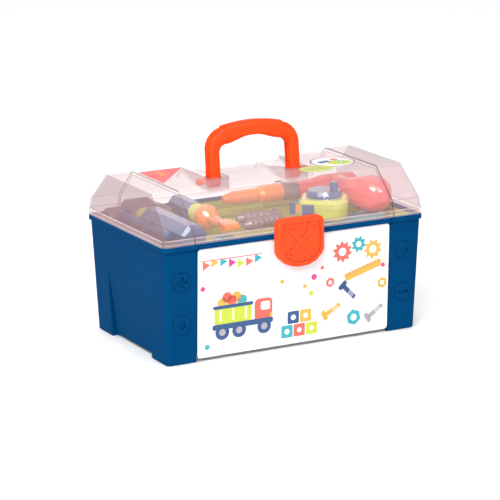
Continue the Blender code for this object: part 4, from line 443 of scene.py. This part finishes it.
# Materials
def moulded(name, code, rough, shine, coat=0.0):
    """Moulded plastic: flow marks, fine grain, scuffs, painted shade in creases, and edges lighter
    partly from wear and partly as a painted highlight.
    """
    tree = material(name)
    colour = linear(code)
    point, _ = tree.place()
    flow = tree.noise(point, FLOW_SCALE, 2.0)
    speck = tree.noise(point, SPECK_SCALE, 2.0)
    smear = tree.noise(point, SMEAR_SCALE, 4.0, 0.6)
    scuff = tree.noise(point, SCUFF_SCALE, 5.0, 0.7).below(SCUFF_EDGE, SCUFF_SOFT)
    # Painted shade darkens the piece's own inner corners.
    crease_shade = tree.corner(CREASE_REACH, False)
    # Outer edges lighter: partly wear, partly a painted highlight.
    wear_and_sheen = tree.corner(EDGE_REACH, True)
    tone = tree.blend(flow, *(shade(colour, share) for share in FLOW_SHADES))
    tone = tree.blend(scuff * SCUFF_SHARE, tone, shade(colour, SCUFF_SHADE))
    tone = tree.blend(crease_shade * CREASE_SHADE_SHARE, tone, shade(colour, CREASE_SHADE))
    tone = tree.blend(wear_and_sheen * WEAR_AND_SHEEN_SHARE, tone, shade(colour, WEAR_AND_SHEEN_LIGHTNESS))
    relief = tree.bump(speck * 0.6 + smear * 0.4, GRAIN_HEIGHT)
    gloss = rough + (smear - 0.5) * SMEAR_GLOSS + scuff * SCUFF_GLOSS
    return tree.finish(Base_Color=tone, Roughness=gloss, Normal=relief, Coat_Weight=coat,
                       Specular_IOR_Level=shine, Coat_Roughness=COAT_ROUGHNESS)


def painted_edge_lines(far_x, far_y, z):
    """Painted dark lines along the lid's steps, its lengthwise corners and its end walls, where its
    walls are seen on edge.
    """
    lines = far_x.near(STEP_X, STEP_LINE_WIDTH)
    for place_y, place_z in LID_EDGES:
        run_y, run_z = far_y - place_y, z - place_z
        reach = (run_y * run_y + run_z * run_z).root()
        lines = lines.larger(reach.below(LINE_WIDTH, LINE_SOFT) * CORNER_LINE_SHARE)
    end = far_x + (z - RIM_TOP) * LID_LEAN
    return lines.larger(end.near(LID_END_X) * END_LINE_SHARE)


def painted_well_lines(far_x, y, z):
    """Painted dark lines down the side walls of the two handle wells, and along their fronts."""
    inner, outer = WELL_WALLS_X
    across = far_x.above(inner, LINE_SOFT) * far_x.below(outer, LINE_SOFT)
    sides = far_x.near(inner).larger(far_x.near(outer)) * y.above(WELL_FRONT_Y, LINE_SOFT)
    front = y.near(WELL_FRONT_Y) * across
    return sides.larger(front) * z.above(WELL_FLOOR_Z, LINE_SOFT) * WELL_LINE_SHARE


def clear_plastic(name):
    """Clear polished plastic: a thin veil, denser at a slant and lit by a painted glow, with painted
    dark lines where its walls are seen on edge, painted highlights on its outer edges, and a rim
    band.
    """
    tree = material(name)
    point, (x, y, z) = tree.place()
    far_x, far_y = abs(x), abs(y)
    flow = tree.noise(point, LID_FLOW_SCALE, 2.0)
    scratch = tree.noise(point, SCRATCH_SCALE, 3.0).below(SCRATCH_EDGE, SCRATCH_SOFT)
    slant = tree.node("ShaderNodeLayerWeight", {}, {"Blend": 0.5}, "Facing")
    # Painted dark lines where the lid's walls are seen on edge.
    lines = painted_edge_lines(far_x, far_y, z).larger(painted_well_lines(far_x, y, z))
    band = z.below(RIM_TOP, BAND_SOFT)
    band_edge = z.near(RIM_TOP, BAND_LINE_WIDTH)
    # Painted highlight: a light line on the rim band and along the lid's outer edges.
    painted_highlight = z.near(HIGHLIGHT_LINE_Z, BAND_LINE_WIDTH).larger(tree.corner(EDGE_REACH, True) * EDGE_HIGHLIGHT_SHARE)
    tone = tree.blend(flow, *map(linear, VEIL_TONES))
    tone = tree.blend(band * BAND_TINT, tone, linear(BAND_TONE))
    tone = tree.blend(band_edge * BAND_LINE_TINT, tone, linear(BAND_LINE_TONE))
    tone = tree.blend(painted_highlight, tone, linear(PAINTED_HIGHLIGHT_TONE))
    tone = tree.blend(lines, tone, linear(LINE_TONE))
    alpha = (lines * LINE_ALPHA + band * BAND_ALPHA + (band_edge + painted_highlight) * BAND_LINE_ALPHA
             + slant * SLANT_ALPHA + VEIL_ALPHA + flow * FLOW_ALPHA)
    alpha = alpha * (1.0 - tree.ray("Is Shadow Ray") * LID_CLEARNESS)
    # The lid glows with a painted glow, dimmer on faces seen at a glance.
    glance = 1.0 - slant.below(GLANCE_EDGE, GLANCE_SOFT)
    return tree.finish(Base_Color=tree.blend(LID_DIM, tone, BLACK), Alpha=alpha,
                       Roughness=scratch * LID_ROUGHNESS + LID_ROUGHNESS,
                       Normal=tree.bump(flow, LID_WAVE),
                       Specular_IOR_Level=LID_SHINE, Emission_Strength=LID_PAINTED_GLOW,
                       Emission_Color=tree.blend(glance * GLANCE_DIM, tone, BLACK))


def paper(name, code, gloss):
    """Printed sheet: faint fibres and a slightly shiny coat."""
    tree = material(name)
    colour = linear(code)
    point, _ = tree.place()
    fibre = tree.noise(point, FIBRE_SCALE, 4.0, 0.7)
    cloud = tree.noise(point, CLOUD_SCALE, 2.0)
    shades = (shade(colour, share) for share in PAPER_SHADES)
    return tree.finish(Base_Color=tree.blend(fibre * 0.6 + cloud * 0.4, *shades),
                       Roughness=gloss + 0.12 * cloud, Normal=tree.bump(fibre, FIBRE_HEIGHT),
                       Coat_Weight=PAPER_COAT, Coat_Roughness=PAPER_COAT_ROUGHNESS)


def steel(name):
    """Drawn spring wire."""
    tree = material(name)
    point, _ = tree.place()
    draw = tree.noise(point, WIRE_SCALE, 3.0)
    return tree.finish(Base_Color=tree.blend(draw, *map(linear, WIRE_TONES)), Metallic=1.0,
                       Roughness=draw * 0.2 + 0.25, Normal=tree.bump(draw, WIRE_HEIGHT))


def measuring_tape(name, centre):
    """Wound tape: fine rings round the coil's axis."""
    tree = material(name)
    point, (x, y, _) = tree.place()
    run_x, run_y = x - centre.x, y - centre.y
    radius = (run_x * run_x + run_y * run_y).root()
    turns = radius.maths("PINGPONG", radius, TAPE_TURN) / TAPE_TURN
    grain = tree.noise(point, TAPE_SCALE)
    tone = tree.blend(turns * 0.6 + grain * 0.4, *map(linear, TAPE_TONES))
    return tree.finish(Base_Color=tone, Roughness=grain * 0.1 + 0.4,
                       Normal=tree.bump(turns, TAPE_GROOVE))


# Edit mode
def deselect():
    if bpy.context.object and bpy.context.object.mode == "EDIT":
        bpy.ops.object.mode_set(mode="OBJECT")
    bpy.ops.object.select_all(action="DESELECT")


def start(name, materials):
    """An empty mesh object in edit mode, with its materials."""
    deselect()
    bpy.ops.mesh.primitive_plane_add(size=1.0)
    piece = bpy.context.object
    piece.name = piece.data.name = name
    for each in materials:
        piece.data.materials.append(each)
    bpy.ops.object.mode_set(mode="EDIT")
    bpy.ops.mesh.select_all(action="SELECT")
    bpy.ops.mesh.delete(type="VERT")
    return piece


def close(piece, matrix):
    """Leaves edit mode, with the mesh moved to its place."""
    bpy.ops.mesh.reveal()
    bpy.ops.mesh.select_all(action="SELECT")
    bpy.ops.mesh.normals_make_consistent(inside=False)
    bpy.ops.object.mode_set(mode="OBJECT")
    piece.data.transform(matrix)
    piece.data.update()


class Sheet:
    """A sheet of print in the making. Its shapes are named by ink and stacked in layers."""

    def __init__(self, name, inks, names):
        self.slots = {ink: slot for slot, ink in enumerate(names)}
        self.piece = start(name, [inks[ink] for ink in names])

    def fresh(self):
        """Hides what is already drawn, so that the next shape is alone."""
        bpy.ops.mesh.select_all(action="SELECT")
        bpy.ops.mesh.hide(unselected=False)

    def dye(self, ink, layer):
        """Gives the new shape its ink and its thickness."""
        bpy.ops.mesh.select_all(action="SELECT")
        self.piece.active_material_index = self.slots[ink]
        bpy.ops.object.material_slot_assign()
        rise = (0.0, 0.0, INK_LAYER * (layer + 1))
        bpy.ops.mesh.extrude_region_move(TRANSFORM_OT_translate={"value": rise})

    def dot(self, ink, place, radius, sides=ROUND_SIDES, turn=0.0, layer=0, tall=1.0):
        """A printed disc, oval or polygon."""
        spot = (place[0], place[1], 0.0)
        self.fresh()
        bpy.ops.mesh.primitive_circle_add(vertices=sides, radius=radius, fill_type="NGON",
                                          location=spot, rotation=(0.0, 0.0, turn))
        if tall != 1.0:
            bpy.ops.transform.resize(value=(1.0, tall, 1.0), center_override=spot)
        self.dye(ink, layer)

    def bar(self, ink, place, size, corner=0.0, layer=0, turn=0.0):
        """A printed bar, with round corners where a corner is given."""
        spot = (place[0], place[1], 0.0)
        self.fresh()
        bpy.ops.mesh.primitive_plane_add(size=1.0, location=spot)
        bpy.ops.transform.resize(value=(size[0], size[1], 1.0), center_override=spot)
        if turn:
            bpy.ops.transform.rotate(value=-turn, orient_axis="Z", center_override=spot)
        if corner:
            bpy.ops.mesh.bevel(offset=corner, segments=CORNER_STEPS, affect="VERTICES")
        self.dye(ink, layer)

    def gear(self, ink, place, radius, teeth, hole):
        """A printed gear wheel with a paper-coloured hole."""
        spot = (place[0], place[1], 0.0)
        self.fresh()
        bpy.ops.mesh.primitive_circle_add(vertices=teeth * 4, radius=radius, fill_type="NGON",
                                          location=spot)
        mesh = self.piece.data
        work = bmesh.from_edit_mesh(mesh)
        for vert in work.verts:
            if not vert.hide:
                around = math.atan2(vert.co.y - spot[1], vert.co.x - spot[0])
                vert.select_set(round(around * teeth * 2 / math.pi) % 4 < 2)
        work.select_flush_mode()
        bmesh.update_edit_mesh(mesh)
        root = (GEAR_ROOT_SHARE, GEAR_ROOT_SHARE, 1.0)
        bpy.ops.transform.resize(value=root, center_override=spot)
        self.dye(ink, 0)
        self.dot("paper", place, hole, layer=1)


# Printed pieces
def card_front(node):
    """The matrix from print coordinates to the front of the card."""
    mesh = node.data
    front = [mesh.vertices[index].co for face in mesh.polygons
             if face.normal.y < FRONT_NORMAL_Y for index in face.vertices]
    low = min(front, key=lambda point: point.z)
    high = max(front, key=lambda point: point.z)
    up = Vector((0.0, high.y - low.y, high.z - low.z)).normalized()
    out = Vector((1.0, 0.0, 0.0)).cross(up)
    base = Vector((0.0, low.y, low.z)) + out * INK_LIFT
    return Matrix(((1.0, up.x, out.x, base.x), (0.0, up.y, out.y, base.y),
                   (0.0, up.z, out.z, base.z), (0.0, 0.0, 0.0, 1.0)))


def flags(sheet):
    """A row of small flags on a line."""
    for step, ink in enumerate(FLAG_INKS):
        place = (FLAG_FIRST[0] + FLAG_STEP * step,
                 FLAG_FIRST[1] + FLAG_SWING * math.sin(step * FLAG_WAVE))
        sheet.dot(ink, place, FLAG_RADIUS, 3, -math.pi / 2)
    sheet.bar(*FLAG_LINE)


def truck(sheet):
    """A tipper truck with a load of balls."""
    for ink, place in BALLS:
        sheet.dot(ink, place, BALL_RADIUS)
    for row in TRUCK_BARS:
        sheet.bar(*row)
    for x in WHEELS_X:
        sheet.dot("navy", (x, WHEEL_Y), TYRE_RADIUS, layer=3)
        sheet.dot("grey", (x, WHEEL_Y), HUB_RADIUS, layer=4)


def blocks(sheet):
    """A small tower of toy blocks."""
    for index, (column, row) in enumerate(BLOCK_ROWS):
        spot = (BLOCK_PLACE[0] + column * BLOCK_PITCH, BLOCK_PLACE[1] + row * BLOCK_PITCH)
        sheet.bar(BLOCK_INKS[index], spot, (BLOCK_SIZE, BLOCK_SIZE), BLOCK_CORNER)
        sheet.dot("paper", spot, BLOCK_MARK, BLOCK_MARK_SIDES[index % 3], layer=1)


def nuts_and_bolts(sheet):
    """Nuts and bolts scattered over the right of the card."""
    for ink, place, radius in NUTS:
        sheet.dot(ink, place, radius, 6, NUT_TURN)
        sheet.dot("paper", place, radius * NUT_HOLE_SHARE, layer=1)
    for ink, place, turn in BOLTS:
        spot, along = Vector(place), Vector((math.cos(turn), math.sin(turn)))
        sheet.bar(ink, spot, BOLT_SHAFT, BOLT_SHAFT_CORNER, turn=turn)
        sheet.bar(ink, spot - along * BOLT_HEAD_BACK, BOLT_HEAD, BOLT_HEAD_CORNER, turn=turn)
        for step in range(THREADS):
            thread = spot + along * (THREAD_STEP * step + THREAD_FIRST)
            sheet.bar("paper", thread, THREAD_SIZE, layer=1, turn=turn + THREAD_TURN)


def ruler(sheet):
    """A short ruler with tick marks."""
    along = Vector((math.cos(RULER_TURN), math.sin(RULER_TURN)))
    across = Vector((-along.y, along.x))
    middle = Vector(RULER_PLACE)
    sheet.bar("amber", middle, RULER_SIZE, RULER_CORNER, turn=RULER_TURN)
    for step in range(TICKS):
        tall = TICK_SHORT if step % 3 else TICK_LONG
        spot = middle + along * (TICK_STEP * (step - TICKS // 2)) + across * (TICK_TOP - tall / 2)
        sheet.bar("navy", spot, (TICK_WIDTH, tall), layer=1, turn=RULER_TURN)


def card_print(node, inks):
    """The card's printed picture: flags, a truck, blocks, gears and small fixings."""
    sheet = Sheet("card_print", inks, CARD_INKS)
    flags(sheet)
    truck(sheet)
    blocks(sheet)
    for row in GEARS:
        sheet.gear(*row)
    nuts_and_bolts(sheet)
    ruler(sheet)
    for ink, place, radius in DOTS:
        sheet.dot(ink, place, radius)
    piece = sheet.piece
    close(piece, card_front(node))
    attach(piece, "door")


def corner_marks(sheet, middle):
    """Small yellow marks on the corner label."""
    for row, (along, wide) in enumerate(CORNER_ROWS):
        x = middle.x + CORNER_FIRST[0] + along
        y = middle.y + CORNER_FIRST[1] - CORNER_DROP * row
        sheet.bar("yellow", (x, y), (wide, CORNER_BAR), CORNER_BAR_CORNER, turn=CORNER_BAR_TURN)
        sheet.dot("amber", (x + wide * CORNER_DOT_SHARE, y + CORNER_DOT_UP), CORNER_DOT,
                  CORNER_DOT_SIDES)


def oval_marks(sheet, middle):
    """Purple border, and a hill with a bar and a few discs, on the oval label."""
    spot = (middle.x, middle.y)
    sheet.dot("purple", spot, OVAL_OUTER, OVAL_SIDES, tall=OVAL_TALL)
    sheet.dot("paper", spot, OVAL_INNER, OVAL_SIDES, layer=1, tall=OVAL_TALL)
    for ink, (x, y), radius, sides, layer, tall in OVAL_DISCS:
        sheet.dot(ink, (spot[0] + x, spot[1] + y), radius, sides, layer=layer, tall=tall)
    place = (spot[0] + OVAL_BAR_PLACE[0], spot[1] + OVAL_BAR_PLACE[1])
    sheet.bar("navy", place, OVAL_BAR, OVAL_BAR_CORNER, OVAL_BAR_LAYER, OVAL_BAR_TURN)


def small_marks(sheet, middle):
    """Rows of short dashes on the small label."""
    for row, count in enumerate(DASH_ROWS):
        for step in range(count):
            place = (middle.x + DASH_STEP * (step - (count - 1) / 2),
                     middle.y + DASH_STEP * (1 - row))
            sheet.bar("leaf", place, DASH_SIZE, DASH_CORNER)


def label_print(node, inks, names, marks):
    """Marks printed on one label of the lid's top."""
    low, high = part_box(node)
    sheet = Sheet(node + "_print", inks, names)
    marks(sheet, (low + high) / 2)
    piece = sheet.piece
    close(piece, Matrix.Translation((0.0, 0.0, high.z + INK_LIFT)))
    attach(piece, "lid")


def lid_bead(clear):
    """A thin raised bead on the ledge round the lid's foot."""
    low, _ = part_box("base_tub")
    half = (-low.x - BEAD_INSET, -low.y - BEAD_INSET, 1.0)
    piece = start("lid_bead", [clear])
    bpy.ops.mesh.primitive_plane_add(size=2.0)
    bpy.ops.transform.resize(value=half, center_override=(0.0, 0.0, 0.0))
    bpy.ops.mesh.bevel(offset=BEAD_CORNER, segments=6, affect="VERTICES")
    bpy.ops.mesh.inset(thickness=BEAD_WIDTH)
    bpy.ops.mesh.delete(type="FACE")
    bpy.ops.mesh.select_all(action="SELECT")
    rise = (0.0, 0.0, BEAD_HEIGHT)
    bpy.ops.mesh.extrude_region_move(TRANSFORM_OT_translate={"value": rise})
    close(piece, Matrix.Translation((0.0, 0.0, RIM_TOP)))
    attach(piece, "lid")


# Finish
def assign(node, finish):
    """Puts a material in every slot of a node."""
    if not node.material_slots:
        node.data.materials.append(finish)
    for slot in node.material_slots:
        slot.material = finish


def finish_nodes(nodes, inks, clear):
    """Gives every CAD node its procedural material."""
    made = {name: moulded(name + "_plastic", *settings) for name, settings in FINISHES.items()}
    for name, members in NODE_FINISH:
        for member in members:
            assign(nodes[member], made[name])
    for node, name, code in LABEL_PAPERS:
        assign(nodes[node], paper(name, code, LABEL_GLOSS))
    low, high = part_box("tape_coil")
    assign(nodes["lid_shell"], clear)
    assign(nodes["front_card"], inks["paper"])
    assign(nodes["trigger_spring"], steel("spring_wire"))
    assign(nodes["tape_coil"], measuring_tape("tape_winding", (low + high) / 2))


# Stage
def world():
    """White where it is seen, mirrored or shone through, and dimmer as a light."""
    tree = Tree(bpy.data.worlds.new("studio"), "Background")
    seen = tree.ray("Is Camera Ray").larger(tree.ray("Is Glossy Ray"))
    seen = seen.larger(tree.ray("Is Transmission Ray"))
    strength = seen * (1.0 - WORLD_LIGHT) + WORLD_LIGHT
    bpy.context.scene.world = tree.finish(Color=WHITE, Strength=strength)


def floor():
    """A pale floor that keeps the soft shadow, and a painted contact shadow where its glow fades near
    the object.
    """
    tree = material("floor")
    point, _ = tree.place()
    dust = tree.noise(point, DUST_SCALE, 2.0)
    # The floor's glow fades near the object, which paints a contact shadow.
    glow_outside_painted_shadow = tree.node("ShaderNodeAmbientOcclusion", {"samples": SHADE_SAMPLES},
                           {"Distance": SHADE_REACH}, "AO")
    glow = tree.blend(tree.ray("Is Camera Ray") * glow_outside_painted_shadow, BLACK, shade(WHITE, FLOOR_GLOW))
    tree.finish(Base_Color=tree.blend(dust, *DUST_TONES), Roughness=0.7, Emission_Color=glow,
                Emission_Strength=1.0, Specular_IOR_Level=0.1)
    deselect()
    bpy.ops.mesh.primitive_plane_add(size=FLOOR_SIZE)
    piece = bpy.context.object
    piece.name = "floor"
    piece.data.materials.append(tree.owner)


def lamp(name, place, aim_height, size, power, matt):
    """A rectangular soft light aimed at a point over the origin."""
    data = bpy.data.lights.new(name, "AREA")
    data.shape = "RECTANGLE"
    data.size, data.size_y = size
    data.energy = power
    made = bpy.data.objects.new(name, data)
    made.location = place
    aim = Vector((0.0, 0.0, aim_height)) - Vector(place)
    made.rotation_euler = aim.to_track_quat("-Z", "Y").to_euler()
    made.visible_diffuse = matt
    bpy.context.scene.collection.objects.link(made)


def camera():
    """The camera at the photograph's angle."""
    data = bpy.data.cameras.new("camera")
    data.lens = CAMERA_LENS
    data.sensor_width = CAMERA_SENSOR
    data.clip_start = CAMERA_NEAR
    made = bpy.data.objects.new("camera", data)
    made.location = CAMERA_PLACE
    aim = Vector(CAMERA_TARGET) - Vector(CAMERA_PLACE)
    turn = aim.to_track_quat("-Z", "Y").to_matrix() @ Matrix.Rotation(CAMERA_ROLL, 3, "Z")
    made.rotation_euler = turn.to_euler()
    bpy.context.scene.collection.objects.link(made)
    bpy.context.scene.camera = made


def main():
    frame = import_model()
    inks = {name: paper(name + "_ink", code, INK_GLOSS) for name, code in INKS}
    inks["paper"] = paper("card_paper", CARD_PAPER, CARD_GLOSS)
    clear = clear_plastic("clear_lid")
    finish_nodes(frame["nodes"], inks, clear)
    card_print(frame["nodes"]["front_card"], inks)
    label_print("corner_label", inks, ("yellow", "amber"), corner_marks)
    label_print("oval_label", inks, ("purple", "paper", "lime", "navy", "coral", "teal"),
                oval_marks)
    label_print("small_label", inks, ("leaf",), small_marks)
    lid_bead(clear)
    world()
    floor()
    for settings in LAMPS:
        lamp(*settings)
    camera()
    view = bpy.context.scene.view_settings
    view.view_transform = "Standard"


main()
